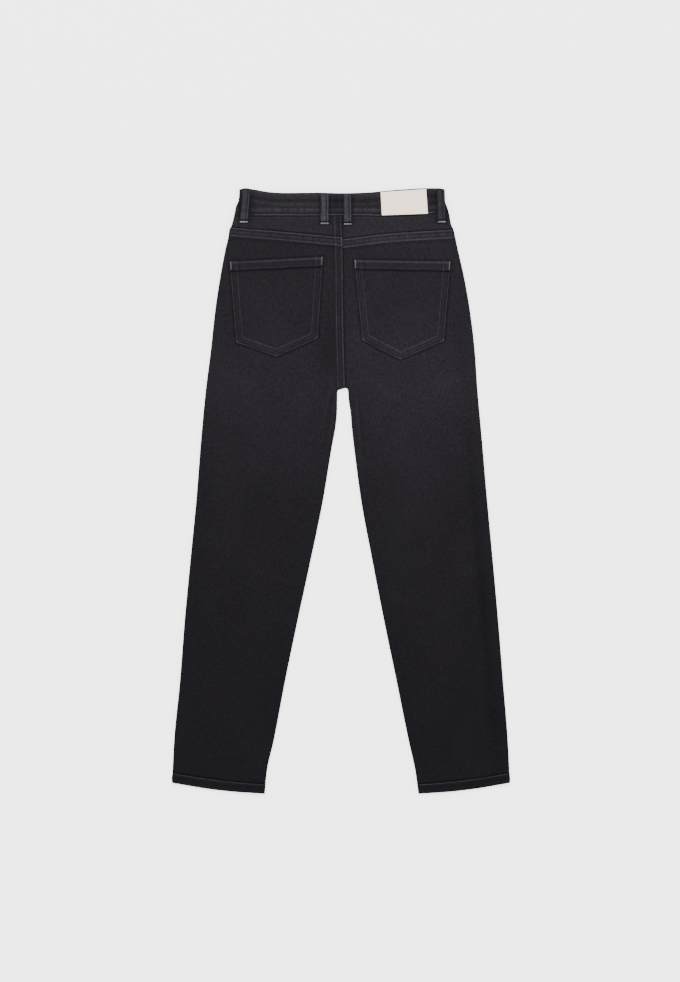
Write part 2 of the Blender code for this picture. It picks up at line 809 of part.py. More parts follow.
def back_loop(name, top_x, bottom_x, width, top_down, bottom_down):
    """Build a belt loop on the back: a folded strip that arches over the waistband."""
    side = "left" if top_x < 0.0 else "right"
    sheet = Sheet(flip=False)
    rows = []

    def clear_x(x):
        left = outer_edge["left"](BAND_NEAR_TOP) + EDGE_TURN
        right = outer_edge["right"](BAND_NEAR_TOP) - EDGE_TURN
        return min(max(x, left), right)

    for step in range(LOOP_STEPS + 1):
        share = step / LOOP_STEPS
        down = top_down + (bottom_down - top_down) * share
        middle = top_x + (bottom_x - top_x) * share
        row = []
        for across in (-0.5, 0.0, 0.5):
            start = band_top(clear_x(top_x + across * width), top_down)
            end = yoke_top(side, clear_x(bottom_x + across * width), bottom_down)
            z = start + (end - start) * share + LOOP_ARCH * math.sin(math.pi * share)
            row.append(place(middle + across * width, down, z + GAP + LOOP_CLOTH))
        rows.append(row)
    sheet.grid(rows)
    return add_cloth(name, sheet, LOOP_CLOTH, "loop_denim")


def front_loop(name, top_x, bottom_x, width):
    """Build a belt loop on the front, between the waistband and the floor."""
    sheet = Sheet(flip=True)
    rows = []
    top_down = front_band_top_down(top_x) + FRONT_LOOP_INSET
    bottom_down = front_band_bottom_down(bottom_x) + FRONT_LOOP_PAST_BAND
    for step in range(LOOP_STEPS + 1):
        share = step / LOOP_STEPS
        down = top_down + (bottom_down - top_down) * share
        middle = top_x + (bottom_x - top_x) * share
        row = []
        for across in (-0.5, 0.0, 0.5):
            x = middle + across * width
            z = WAIST_LIFT - GAP - LOOP_CLOTH - FRONT_LOOP_ARCH * math.sin(math.pi * share)
            row.append(place(x, down, z))
        rows.append(row)
    sheet.grid(rows)
    return add_cloth(name, sheet, LOOP_CLOTH, "loop_denim")


def waist_patch():
    """Build the pale patch from the points of the waistband below it, moved out."""
    sheet = Sheet(flip=False)
    rows = []
    for step in range(PATCH_ROWS + 1):
        share = step / PATCH_ROWS
        start = [a + (b - a) * share for a, b in zip(PATCH["top_left"], PATCH["bottom_left"])]
        end = [a + (b - a) * share for a, b in zip(PATCH["top_right"], PATCH["bottom_right"])]
        row = []
        for column in range(PATCH_COLUMNS + 1):
            across = column / PATCH_COLUMNS
            x = start[0] + (end[0] - start[0]) * across
            down = start[1] + (end[1] - start[1]) * across
            row.append(place(x, down, band_top(x, down) + GAP + PATCH_CLOTH))
        rows.append(row)
    sheet.grid(rows)
    return add_cloth("waist_patch", sheet, PATCH_CLOTH, "cream_patch")


def waist_button():
    """Build the button as a turned solid with its flat face on the floor."""
    shape = bmesh.new()
    rings = []
    for radius, height in BUTTON_PROFILE:
        if radius == 0.0:
            rings.append([shape.verts.new(place(BUTTON_X, BUTTON_DOWN, height))])
            continue
        ring = []
        for step in range(BUTTON_SIDES):
            angle = 2.0 * math.pi * step / BUTTON_SIDES
            x = BUTTON_X + radius * math.cos(angle)
            down = BUTTON_DOWN - radius * math.sin(angle)
            ring.append(shape.verts.new(place(x, down, height)))
        rings.append(ring)
    for lower, upper in zip(rings, rings[1:]):
        for step in range(BUTTON_SIDES):
            after = (step + 1) % BUTTON_SIDES
            if len(lower) == 1:
                shape.faces.new((lower[0], upper[after], upper[step]))
            elif len(upper) == 1:
                shape.faces.new((lower[step], lower[after], upper[0]))
            else:
                shape.faces.new((lower[step], lower[after], upper[after], upper[step]))
    mesh = bpy.data.meshes.new("waist_button")
    shape.to_mesh(mesh)
    shape.free()
    return add_object("waist_button", mesh, "dark_metal")


def build():
    """Clear the scene and build every piece."""
    for old in list(bpy.data.objects):
        bpy.data.objects.remove(old, do_unlink=True)
    waistband()
    for side, corners in (("left", POCKET_LEFT), ("right", POCKET_RIGHT)):
        yoke(side)
        back_panel(side)
        front_panel(side)
        pocket_facing(side)
        hem(side)
        back_pocket(side, corners)
    for name, sizes in BACK_LOOPS.items():
        back_loop(name, *sizes)
    for name, sizes in FRONT_LOOPS.items():
        front_loop(name, *sizes)
    waist_patch()
    waist_button()


build()
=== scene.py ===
"""Looks for a pair of slim jeans, laid flat with the back side up.

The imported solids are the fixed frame. Every piece of cloth is made again on its
solid's form, as a finer sheet with pressed creases and puckered seams, and the
sewing, the finishes, the light and the camera are added here. Sizes are in
millimetres: x runs to the right seen from above, and down runs from the waist
corners to the hems. Finished meshes are in metres, in the frame of the solids.
"""
import logging
import math
from dataclasses import dataclass, field
from enum import Enum
from functools import cache
from typing import Callable

import bpy
import numpy as np
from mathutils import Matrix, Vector


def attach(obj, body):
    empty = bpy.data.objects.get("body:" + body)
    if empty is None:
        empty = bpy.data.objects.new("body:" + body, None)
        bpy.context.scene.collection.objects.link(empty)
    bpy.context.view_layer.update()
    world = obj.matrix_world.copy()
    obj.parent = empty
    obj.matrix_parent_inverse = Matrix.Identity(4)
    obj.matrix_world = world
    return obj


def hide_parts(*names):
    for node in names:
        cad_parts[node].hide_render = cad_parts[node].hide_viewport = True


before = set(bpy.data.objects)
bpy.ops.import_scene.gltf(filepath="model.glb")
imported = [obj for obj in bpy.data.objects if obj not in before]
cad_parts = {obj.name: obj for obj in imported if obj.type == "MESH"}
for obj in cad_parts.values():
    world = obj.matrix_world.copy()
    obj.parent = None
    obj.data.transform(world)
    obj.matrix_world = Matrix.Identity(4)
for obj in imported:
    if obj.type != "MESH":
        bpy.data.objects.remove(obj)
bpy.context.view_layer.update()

MM = 0.001
BODY = "root"
log = logging.getLogger("jeans")

Field = np.ndarray
Pair = tuple[float, float]
Triple = tuple[float, float, float]
Points = tuple[Field, Field, Field]
Table = tuple[tuple[float, ...], ...]
Height = Callable[[Field, Field], Field]
Feeds = dict[str | int, object]


def grid_of(rows: list[tuple[Field, ...]]) -> list[Field]:
    """Return rows of points as one grid for each of their values."""
    return [np.array([row[k] for row in rows]) for k in range(len(rows[0]))]


def unit_grid(columns: int, rows: int, first: float = 0.0) -> tuple[Field, Field]:
    """Return the shares across, which start at first, and along of a grid of points."""
    return np.meshgrid(np.linspace(first, first + 1.0, columns + 1), np.linspace(0.0, 1.0, rows + 1))


def placed(name: str, data: bpy.types.ID) -> bpy.types.Object:
    """Put an object in the scene.

    Args:
        name: The object's name.
        data: Its mesh, lamp or camera.

    Returns:
        The object.
    """
    thing = bpy.data.objects.new(name, data)
    bpy.context.scene.collection.objects.link(thing)
    return thing


class Side(Enum):
    """The two halves of the garment, as seen from above."""

    LEFT = "left"
    RIGHT = "right"

    @property
    def inward(self) -> float:
        """Return the way from this side's outer edge to the middle, along x."""
        return 1.0 if self is Side.LEFT else -1.0


class Face(Enum):
    """Which way the outer face of a piece looks."""

    UP = 1.0
    DOWN = -1.0


def smooth_step(low: float, high: float, value: Field) -> Field:
    """Return a soft ramp."""
    t = np.clip((np.asarray(value, float) - low) / (high - low), 0.0, 1.0)
    return t * t * (3.0 - 2.0 * t)


def bell(value: Field, middle: float, half_width: float) -> Field:
    """Return a soft bump of height 1."""
    return np.exp(-((value - middle) / half_width) ** 2)


def ripple(along: Field, wave: float, seed: int) -> Field:
    """Return uneven waves, as puckers along a seam have.

    Args:
        along: Distances along the seam.
        wave: The usual distance between two crests.
        seed: Which row of waves it is.

    Returns:
        Values from about 0, in a trough, to about 1, on a crest.
    """
    draw = np.random.default_rng(seed)
    total = np.zeros(np.shape(along))
    for stretch, weight in ((1.0, 1.0), (0.71, 0.7), (1.53, 0.8), (2.9, 0.7)):
        length = wave * stretch * draw.uniform(0.93, 1.07)
        total = total + weight * np.sin(2.0 * np.pi * along / length + draw.uniform(0.0, 6.28))
    return np.clip(0.5 + 0.26 * total, 0.0, 1.0)


@dataclass
class Curve:
    """A smooth line through the rows of a short table, with no overshoot."""

    rows: Table
    column: int = 1

    def __post_init__(self) -> None:
        """Work out the slope at each row."""
        self.places = np.array([row[0] for row in self.rows])
        self.values = np.array([row[self.column] for row in self.rows])
        secants = np.diff(self.values) / np.diff(self.places)
        before, after = secants[:-1], secants[1:]
        same_way = before * after > 0.0
        total = np.where(same_way, before + after, 1.0)
        inner = np.where(same_way, 2.0 * before * after / total, 0.0)
        self.slopes = np.concatenate(([secants[0]], inner, [secants[-1]]))

    def __call__(self, place: Field) -> Field:
        """Return the curve's value.

        Args:
            place: Where to read it.

        Returns:
            The value at each place, held level past both ends.
        """
        place = np.clip(place, self.places[0], self.places[-1])
        i = np.clip(np.searchsorted(self.places, place, side="right") - 1, 0, len(self.places) - 2)
        step = self.places[i + 1] - self.places[i]
        t = (place - self.places[i]) / step
        start = (1.0 + 2.0 * t) * (1.0 - t) ** 2 * self.values[i]
        start = start + t * (1.0 - t) ** 2 * step * self.slopes[i]
        end = t * t * (3.0 - 2.0 * t) * self.values[i + 1]
        return start + end + t * t * (t - 1.0) * step * self.slopes[i + 1]


def filled(rows: Table, step: float) -> list[tuple[float, ...]]:
    """Return a table with even steps put in between its rows.

    Args:
        rows: The rows, whose first column grows.
        step: The largest step to leave in the first column.

    Returns:
        The rows and the new ones between them.
    """
    result = [rows[0]]
    for before, after in zip(rows, rows[1:]):
        count = max(1, math.ceil(abs(after[0] - before[0]) / step))
        for k in range(1, count + 1):
            result.append(tuple(a + (b - a) * k / count for a, b in zip(before, after)))
    return result


@dataclass(frozen=True)
class Crease:
    """One soft ridge or trough in the cloth.

    Attributes:
        start: x and down of one end.
        end: x and down of the other end.
        rise: Height of its middle, less than 0 for a trough.
        half_width: How far from its line it fades.
        bow: How far its middle strays to the right of its straight line.
        unevenness: Share of its height that comes and goes along it.
    """

    start: Pair
    end: Pair
    rise: float
    half_width: float
    bow: float = 0.0
    unevenness: float = 0.3

    def height(self, x: Field, down: Field) -> Field:
        """Return how much the crease raises the cloth.

        Args:
            x: Places across the garment.
            down: Places along it.

        Returns:
            The rise at each place.
        """
        run_x = self.end[0] - self.start[0]
        run_down = self.end[1] - self.start[1]
        length = math.hypot(run_x, run_down)
        share = ((x - self.start[0]) * run_x + (down - self.start[1]) * run_down) / length ** 2
        beside = ((x - self.start[0]) * run_down - (down - self.start[1]) * run_x) / length
        inside = np.clip(share, 0.0, 1.0)
        beside = beside - self.bow * 4.0 * inside * (1.0 - inside)
        ends = smooth_step(-0.04, 0.3, share) * (1.0 - smooth_step(0.7, 1.04, share))
        seed = int(abs(self.start[0]) * 7.0 + self.start[1])
        uneven = 1.0 - self.unevenness * ripple(share * length, 60.0, seed)
        return self.rise * ends * uneven * np.exp(-(beside / self.half_width) ** 2)


@dataclass(frozen=True)
class Mark:
    """A line beside a seam where the cloth is puckered, worn pale or shaded.

    Attributes:
        offset: Its distance from the seam's edge.
        half_width: How far to its sides it fades.
        light: Share of brightness that it adds, or takes where less than 0.
        rise: Height of its puckers, less than 0 for dents.
        patchy: How far the light and rise come and go along it, from 0 to 1.
        wave: The usual distance between two puckers.
        seed: Which row of puckers it has.
    """

    offset: float
    half_width: float
    light: float = 0.0
    rise: float = 0.0
    patchy: float = 0.0
    wave: float = 9.0
    seed: int = 1

    def share(self, beside: Field, along: Field) -> Field:
        """Return how strong the mark is."""
        waves = ripple(along, self.wave, self.seed)
        return bell(beside, self.offset, self.half_width) * (1.0 - self.patchy + self.patchy * waves)


Seams = list[tuple[tuple[Mark, ...], Field, Field]]


class Effect(Enum):
    """What a mark changes."""

    LIGHT = "light"
    RISE = "rise"


def marked(effect: Effect, marks: tuple[Mark, ...], beside: Field, along: Field) -> Field:
    """Return what a seam's marks add to the cloth's brightness or height."""
    shares = (getattr(mark, effect.value) * mark.share(beside, along) for mark in marks)
    return sum(shares, np.zeros(np.shape(beside)))


def summed(effect: Effect, seams: Seams) -> Field:
    """Return what the marks of several seams add."""
    return sum(marked(effect, *seam) for seam in seams)


@dataclass(frozen=True)
class Blot:
    """A soft patch of cloth that is paler or darker than what is round it."""

    x: float
    down: float
    half_x: float
    half_down: float
    light: float
    slant: float = 0.0

    def value(self, x: Field, down: Field) -> Field:
        """Return the brightness that it adds."""
        across = x - self.x - self.slant * (down - self.down)
        return self.light * np.exp(-(across / self.half_x) ** 2 - ((down - self.down) / self.half_down) ** 2)


@dataclass
class GarmentForm:
    """The garment's form: its outlines, and how high each layer's outer face stands.

    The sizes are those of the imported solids. The creases are added to them.
    """

    half_length: float = 491.0
    edge_turn: float = 3.0
    wrap: float = 11.0
    gap: float = 0.3
    cloth: float = 1.2
    seat_stack: float = 4.8
    leg_stack: float = 3.6
    ankle_stack: float = 4.4
    seat_to_leg: Pair = (140.0, 420.0)
    leg_to_ankle: Pair = (900.0, 946.0)
    band_stack: float = 5.6
    hem_stack: float = 5.0
    edge_rise: float = 1.4
    edge_reach: float = 24.0
    waist_lift: float = 2.6
    button_lift: float = 0.9
    button_reach: float = 40.0
    button_x: float = 2.0
    lift_fade: Pair = (76.0, 200.0)
    closure_rise: float = 2.6
    closure_left: Pair = (-52.0, -16.0)
    closure_right: Pair = (38.0, 74.0)
    closure_fade: Pair = (50.0, 135.0)
    fell_width: float = 13.5
    fell_fade: float = 5.0
    fell_rise: float = 0.7
    underlap: float = 3.0
    underlap_drop: float = 1.3
    yoke_point_x: float = 2.4
    yoke_side_down: float = 64.0
    notch_down: float = 324.3
    inseam_rise: float = 0.9
    inseam_inset: float = 15.0
    inseam_half: float = 7.0
    inseam_fade: Pair = (330.0, 520.0)
    crease_fade: Pair = (1.0, 9.0)
    front_side_down: float = 3.0
    front_drop: float = 22.0
    front_half_width: float = 168.0
    front_band_depth: float = 37.5
    centre_rows: Table = (
        (40.0, 1.6), (80.0, 2.4), (110.0, 3.0), (165.0, 3.6),
        (214.0, 4.2), (262.0, 5.0), (303.0, 6.4), (324.3, 6.6),
    )
    side_rows: Table = (
        (0.0, -164.5, 167.8), (14.0, -165.0, 168.2), (22.0, -166.5, 168.9),
        (30.0, -170.0, 171.8), (41.0, -172.3, 175.2), (59.0, -176.7, 178.6),
        (69.0, -181.0, 183.0), (79.0, -182.4, 185.1), (101.0, -187.5, 189.8),
        (143.0, -195.4, 199.4), (198.0, -203.8, 209.1), (263.0, -210.9, 216.9),
        (328.0, -219.1, 221.5), (409.0, -226.8, 228.7), (506.0, -234.5, 237.1),
        (603.0, -244.0, 246.2), (700.0, -253.2, 254.9), (798.0, -260.8, 262.7),
        (895.0, -270.3, 270.5), (982.0, -274.4, 274.6),
    )
    inner_rows: Table = (
        (324.0, -5.8, 11.2), (344.0, -5.9, 12.5), (364.0, -6.3, 15.5),
        (383.0, -8.1, 17.0), (422.0, -15.0, 21.3), (506.0, -28.9, 32.5),
        (603.0, -48.9, 50.6), (700.0, -69.8, 69.5), (798.0, -90.1, 89.8),
        (895.0, -108.6, 109.5), (943.0, -119.5, 120.1), (982.0, -123.4, 125.6),
    )
    band_rows: Table = (
        (-176.0, 3.0, 45.3), (-164.0, 2.4, 45.3), (-155.0, 0.4, 45.3),
        (-143.0, 2.2, 45.3), (-111.0, 7.2, 45.3), (-90.0, 8.1, 45.3),
        (-40.0, 7.8, 45.3), (0.0, 8.8, 45.0), (40.0, 7.8, 45.3),
        (61.0, 6.0, 45.8), (100.0, 2.6, 45.2), (145.0, 0.5, 41.8),
        (160.0, 0.6, 40.2), (168.0, 2.6, 39.8), (180.0, 3.0, 39.8),
    )
    creases: tuple[Crease, ...] = ()

    def __post_init__(self) -> None:
        """Make the outlines from their tables."""
        self.outer_edge = {Side.LEFT: Curve(self.side_rows, 1), Side.RIGHT: Curve(self.side_rows, 2)}
        self.inner_edge = {Side.LEFT: Curve(self.inner_rows, 1), Side.RIGHT: Curve(self.inner_rows, 2)}
        self.band_top_down = Curve(self.band_rows, 1)
        self.band_bottom_down = Curve(self.band_rows, 2)
        self.centre_x = Curve(self.centre_rows)
        left = ((-190.0, 63.0), (-94.0, 70.8), (self.yoke_point_x, 79.8))
        right = ((self.yoke_point_x, 83.2), (77.0, 73.8), (190.0, 66.7))
        self.yoke_down = {Side.LEFT: Curve(left), Side.RIGHT: Curve(right)}

    def seam_point(self, side: Side, down: float) -> Pair:
        """Return the centre end of a line across the seat."""
        return (float(self.centre_x(down)) + (self.gap if side is Side.RIGHT else 0.0), down)

    def front_band_top(self, x: Field) -> Field:
        """Return the down of the waistband's top edge on the front, at x."""
        across = np.minimum(np.abs(x) / self.front_half_width, 1.0)
        return self.front_side_down + self.front_drop * (1.0 - across * across)

    def front_band_bottom(self, x: Field) -> Field:
        """Return the down of the waistband's bottom seam on the front, at x."""
        return np.maximum(self.front_band_top(x) + self.front_band_depth, self.band_bottom_down(x))

    def lift(self, x: Field, down: Field) -> Field:
        """Return how high the front's outer face stands above the floor, at x and down."""
        on_button = self.button_lift * bell(x, self.button_x, self.button_reach)
        return (self.waist_lift + on_button) * (1.0 - smooth_step(*self.lift_fade, down))

    def closure(self, x: Field, down: Field) -> Field:
        """Return the rise over the lapped ends of the waistband, at x and down."""
        across = smooth_step(*self.closure_left, x) * (1.0 - smooth_step(*self.closure_right, x))
        return self.closure_rise * across * (1.0 - smooth_step(*self.closure_fade, down))

    def notch_distance(self, x: Field, down: Field) -> Field:
        """Return the distance to the notch or the nearest inner leg edge, at x and down.

        Args:
            x: Places across the garment.
            down: Places along it.

        Returns:
            The value at each place.
        """
        left = self.inner_edge[Side.LEFT](down)
        right = self.inner_edge[Side.RIGHT](down)
        beside = np.maximum(np.maximum(left - x, x - right), 0.0)
        above = np.maximum(self.notch_down - down, 0.0)
        return np.hypot(beside, above)

    def edge_distance(self, x: Field, down: Field) -> Field:
        """Return the distance to the nearest folded edge, at x and down.

        Args:
            x: Places across the garment.
            down: Places along it.

        Returns:
            The value at each place.
        """
        left = x - self.outer_edge[Side.LEFT](down)
        right = self.outer_edge[Side.RIGHT](down) - x
        beside = np.minimum(left, right)
        return np.maximum(np.minimum(beside, self.notch_distance(x, down)), 0.0)

    def edge_fullness(self, x: Field, down: Field) -> Field:
        """Return the extra height near the folded edges, at x and down."""
        return self.edge_rise * bell(self.edge_distance(x, down), 0.0, self.edge_reach)

    def body_stack(self, down: Field) -> Field:
        """Return the height of the layers in the middle of the seat or the leg.

        Args:
            down: Places along it.

        Returns:
            The value at each place.
        """
        to_leg = smooth_step(*self.seat_to_leg, down)
        to_ankle = smooth_step(*self.leg_to_ankle, down)
        stack = self.seat_stack + (self.leg_stack - self.seat_stack) * to_leg
        return stack + (self.ankle_stack - self.leg_stack) * to_ankle

    def fell(self, distance: Field) -> Field:
        """Return the rise of a lapping panel at a distance from its seam edge.

        Args:
            distance: Distances in from the edge.

        Returns:
            The value at each place.
        """
        end = self.fell_width + self.fell_fade
        rise = self.fell_rise * (1.0 - smooth_step(self.fell_width, end, distance))
        return np.where(distance < -0.01, 0.0, rise)

    def tucked(self, side: Side, x: Field, down: Field) -> Field:
        """Return how far the right side's cloth sinks where it runs under the centre seam's lap.

        Args:
            side: The half.
            x: Places across the garment.
            down: Places along it.

        Returns:
            The value at each place.
        """
        if side is Side.LEFT:
            return np.zeros(np.shape(x))
        inside = np.where(down < self.notch_down + 1.0, self.centre_x(down) + self.gap - x, -1.0)
        return self.underlap_drop * smooth_step(0.0, 0.6, inside)

    def inseam_ridge(self, x: Field, down: Field) -> Field:
        """Return the ridge that the inseam presses up inside each leg's inner edge.

        Args:
            x: Places across the garment.
            down: Places along it.

        Returns:
            The value at each place.
        """
        fade = 1.0 - smooth_step(*self.inseam_fade, down)
        below_notch = smooth_step(self.notch_down - 12.0, self.notch_down + 12.0, down)
        across = bell(self.notch_distance(x, down), self.inseam_inset, self.inseam_half)
        return self.inseam_rise * fade * below_notch * across

    def creased(self, x: Field, down: Field) -> Field:
        """Return the height of all creases, at x and down, faded out at the folded edges."""
        total = sum((crease.height(x, down) for crease in self.creases), np.zeros(np.shape(x)))
        return total * smooth_step(*self.crease_fade, self.edge_distance(x, down))

    def base(self, x: Field, down: Field) -> Field:
        """Return the height of the seat or leg with no seams, at x and down."""
        height = self.lift(x, down) + self.body_stack(down) + self.closure(x, down)
        return height + self.edge_fullness(x, down)

    def panel_top(self, side: Side, x: Field, down: Field) -> Field:
        """Return the height of a back panel's outer face, creases included.

        Args:
            side: The half.
            x: Places across the garment.
            down: Places along it.

        Returns:
            The value at each place.
        """
        felled = self.fell(down - self.yoke_down[side](x))
        if side is Side.LEFT:
            beside = np.where(down < self.notch_down + 2.0, self.centre_x(down) - x, -1.0)
            felled = np.maximum(felled, self.fell(beside))
        return self.base(x, down) + felled + self.inseam_ridge(x, down) + self.creased(x, down)

    def yoke_top(self, side: Side, x: Field, down: Field) -> Field:
        """Return the height of a yoke's outer face."""
        felled = self.fell(self.centre_x(down) - x) if side is Side.LEFT else 0.0
        return self.base(x, down) + felled

    def band_top(self, x: Field, down: Field) -> Field:
        """Return the height of the waistband's outer face on the back."""
        height = self.lift(x, down) + self.band_stack + self.closure(x, down)
        return height + self.edge_fullness(x, down)

    def hem_top(self, x: Field, down: Field) -> Field:
        """Return the height of a hem turn-up's outer face on the back."""
        return self.hem_stack + self.edge_fullness(x, down)


@dataclass
class ToneAndShadeMap:
    """How bright the cloth is over the garment: its tone, darker towards the hems, with paler and darker
    patches, painted shadow beside the belt loops, paler crease ridges and darker crease troughs (wear plus
    painted light and shade), and painted shade along the folded edges.
    """

    stops: Table = (
        (0.0, 1.06), (110.0, 1.0), (270.0, 1.05), (340.0, 1.04), (400.0, 0.94), (440.0, 0.90),
        (500.0, 0.79), (600.0, 0.735), (720.0, 0.66), (850.0, 0.605), (982.0, 0.59),
    )
    # Paler and darker patches; the dark ones on the waistband, at down 20 to 25, are painted shadow beside
    # the belt loops.
    blots: tuple[Blot, ...] = (
        Blot(-110, 330, 60, 90, 0.05), Blot(118, 340, 60, 110, 0.1),
        Blot(-100, 255, 50, 26, 0.05), Blot(98, 255, 55, 30, 0.08),
        Blot(-22, 262, 22, 46, -0.2), Blot(30, 300, 20, 50, -0.03),
        Blot(-20, 200, 9, 90, -0.06), Blot(120, 470, 50, 90, 0.08, 0.09),
        Blot(-120, 480, 48, 90, 0.01, -0.09), Blot(224, 600, 8, 330, -0.18, 0.086),
        Blot(-226, 560, 16, 160, -0.05, -0.09), Blot(150, 700, 30, 90, 0.04, 0.13),
        Blot(115, 230, 130, 280, 0.05), Blot(-110, 170, 110, 200, -0.03),
        Blot(1, 90, 1.2, 5, 0.5), Blot(1.5, 98.5, 2, 2, -0.4), Blot(30, 200, 20, 110, 0.07),
        Blot(90, 110, 110, 60, 0.04), Blot(-18, 286, 16, 30, -0.08),
        Blot(-120, 490, 60, 50, -0.04), Blot(-8, 25, 8, 26, -0.5),
        Blot(-165, 24, 6, 34, -0.25), Blot(172, 24, 6, 34, -0.25),
        Blot(90, 84, 80, 13, 0.2), Blot(40, 25, 30, 8, -0.22), Blot(147, 20, 7, 24, -0.4),
        Blot(-141, 25, 4.5, 25, -0.3), Blot(19.5, 347, 2.6, 8, -0.25), Blot(-15, 344, 2.6, 8, -0.25),
        Blot(110, 300, 90, 70, 0.07), Blot(-110, 300, 90, 60, 0.04), Blot(26, 250, 18, 60, 0.05),
    )
    # Painted shadow on the waistband and the yoke beside each belt loop: the loops' x, the shadow's strength,
    # its distance and half width, and the downs where it fades out.
    loop_x: tuple[float, ...] = (-155.0, -26.2, 10.7, 162.5)
    loop_shade: float = 0.36
    loop_shadow: Pair = (8.6, 2.6)
    loop_ends: Pair = (54.0, 64.0)
    # Paler crease ridges, partly wear and partly painted light, and darker crease troughs, painted shade.
    crease_light: float = 0.17
    # Painted shade along the folded edges, where the cloth turns down.
    edge_dark: float = 0.04
    edge_reach: float = 4.0

    def value(self, form: GarmentForm, x: Field, down: Field) -> Field:
        """Return the cloth's brightness.

        Args:
            form: The garment's form.
            x: Places across the garment.
            down: Places along it.

        Returns:
            The brightness at each place.
        """
        total = Curve(self.stops)(down)
        total = total + sum(blot.value(x, down) for blot in self.blots)
        # Painted shadow beside the belt loops.
        beside_loops = sum(bell(np.abs(x - middle), *self.loop_shadow) for middle in self.loop_x)
        total = total - self.loop_shade * beside_loops * (1.0 - smooth_step(*self.loop_ends, down))
        # Painted light, with wear, on the crease ridges and painted shade in the crease troughs.
        total = total * (1.0 + self.crease_light * form.creased(x, down))
        # Painted shade along the folded edges.
        return total * (1.0 - self.edge_dark * bell(form.edge_distance(x, down), 0.0, self.edge_reach))


@dataclass(frozen=True)
class Line:
    """One line across a panel, from its outer edge to its inner edge or centre seam.

    Attributes:
        outer: x and down of the outer end.
        inner: x and down of the inner end.
        bow: How far the line's middle hangs down.
        normal: The way into the cloth at the inner end, where that isn't the line's own.
    """

    outer: Pair
    inner: Pair
    bow: float = 0.0
    normal: Pair | None = None

    def at(self, distance: Field) -> tuple[Field, Field]:
        """Return x and down at a distance in from the outer end.

        Args:
            distance: Distances in from the edge.

        Returns:
            x and down of each point.
        """
        run_x = self.inner[0] - self.outer[0]
        run_down = self.inner[1] - self.outer[1]
        share = np.asarray(distance, float) / math.hypot(run_x, run_down)
        sag = 4.0 * self.bow * share * (1.0 - share)
        return self.outer[0] + run_x * share, self.outer[1] + run_down * share + sag

    def from_inner(self, distance: Field) -> tuple[Field, Field]:
        """Return x and down at a distance in from the inner end, along its normal.

        Args:
            distance: Distances in from the edge.

        Returns:
            x and down of each point.
        """
        if self.normal is None:
            width = math.hypot(self.inner[0] - self.outer[0], self.inner[1] - self.outer[1])
            return self.at(width - np.asarray(distance, float))
        distance = np.asarray(distance, float)
        return self.inner[0] + self.normal[0] * distance, self.inner[1] + self.normal[1] * distance

    def across(self, first: float, last: float, near: Table, middle: int) -> tuple[Field, Field]:
        """Return points across the line.

        Args:
            first: Where they start, from the outer end.
            last: Where they stop, from the inner end.
            near: Distances of the close columns, beside the outer end and the inner one.
            middle: How many columns lie between the close ones.

        Returns:
            x and down of each point.
        """
        start_x, start_down = self.at(first)
        end_x, end_down = self.from_inner(last)
        length = math.hypot(end_x - start_x, end_down - start_down)
        head = np.concatenate(([0.0], np.array(near[0]) / length))
        tail = 1.0 - np.concatenate((np.array(near[1])[::-1] / length, [0.0]))
        between = np.linspace(head[-1], tail[0], middle + 2)[1:-1]
        share = np.concatenate((head, between, tail))
        sag = 4.0 * self.bow * share * (1.0 - share)
        return start_x + (end_x - start_x) * share, start_down + (end_down - start_down) * share + sag


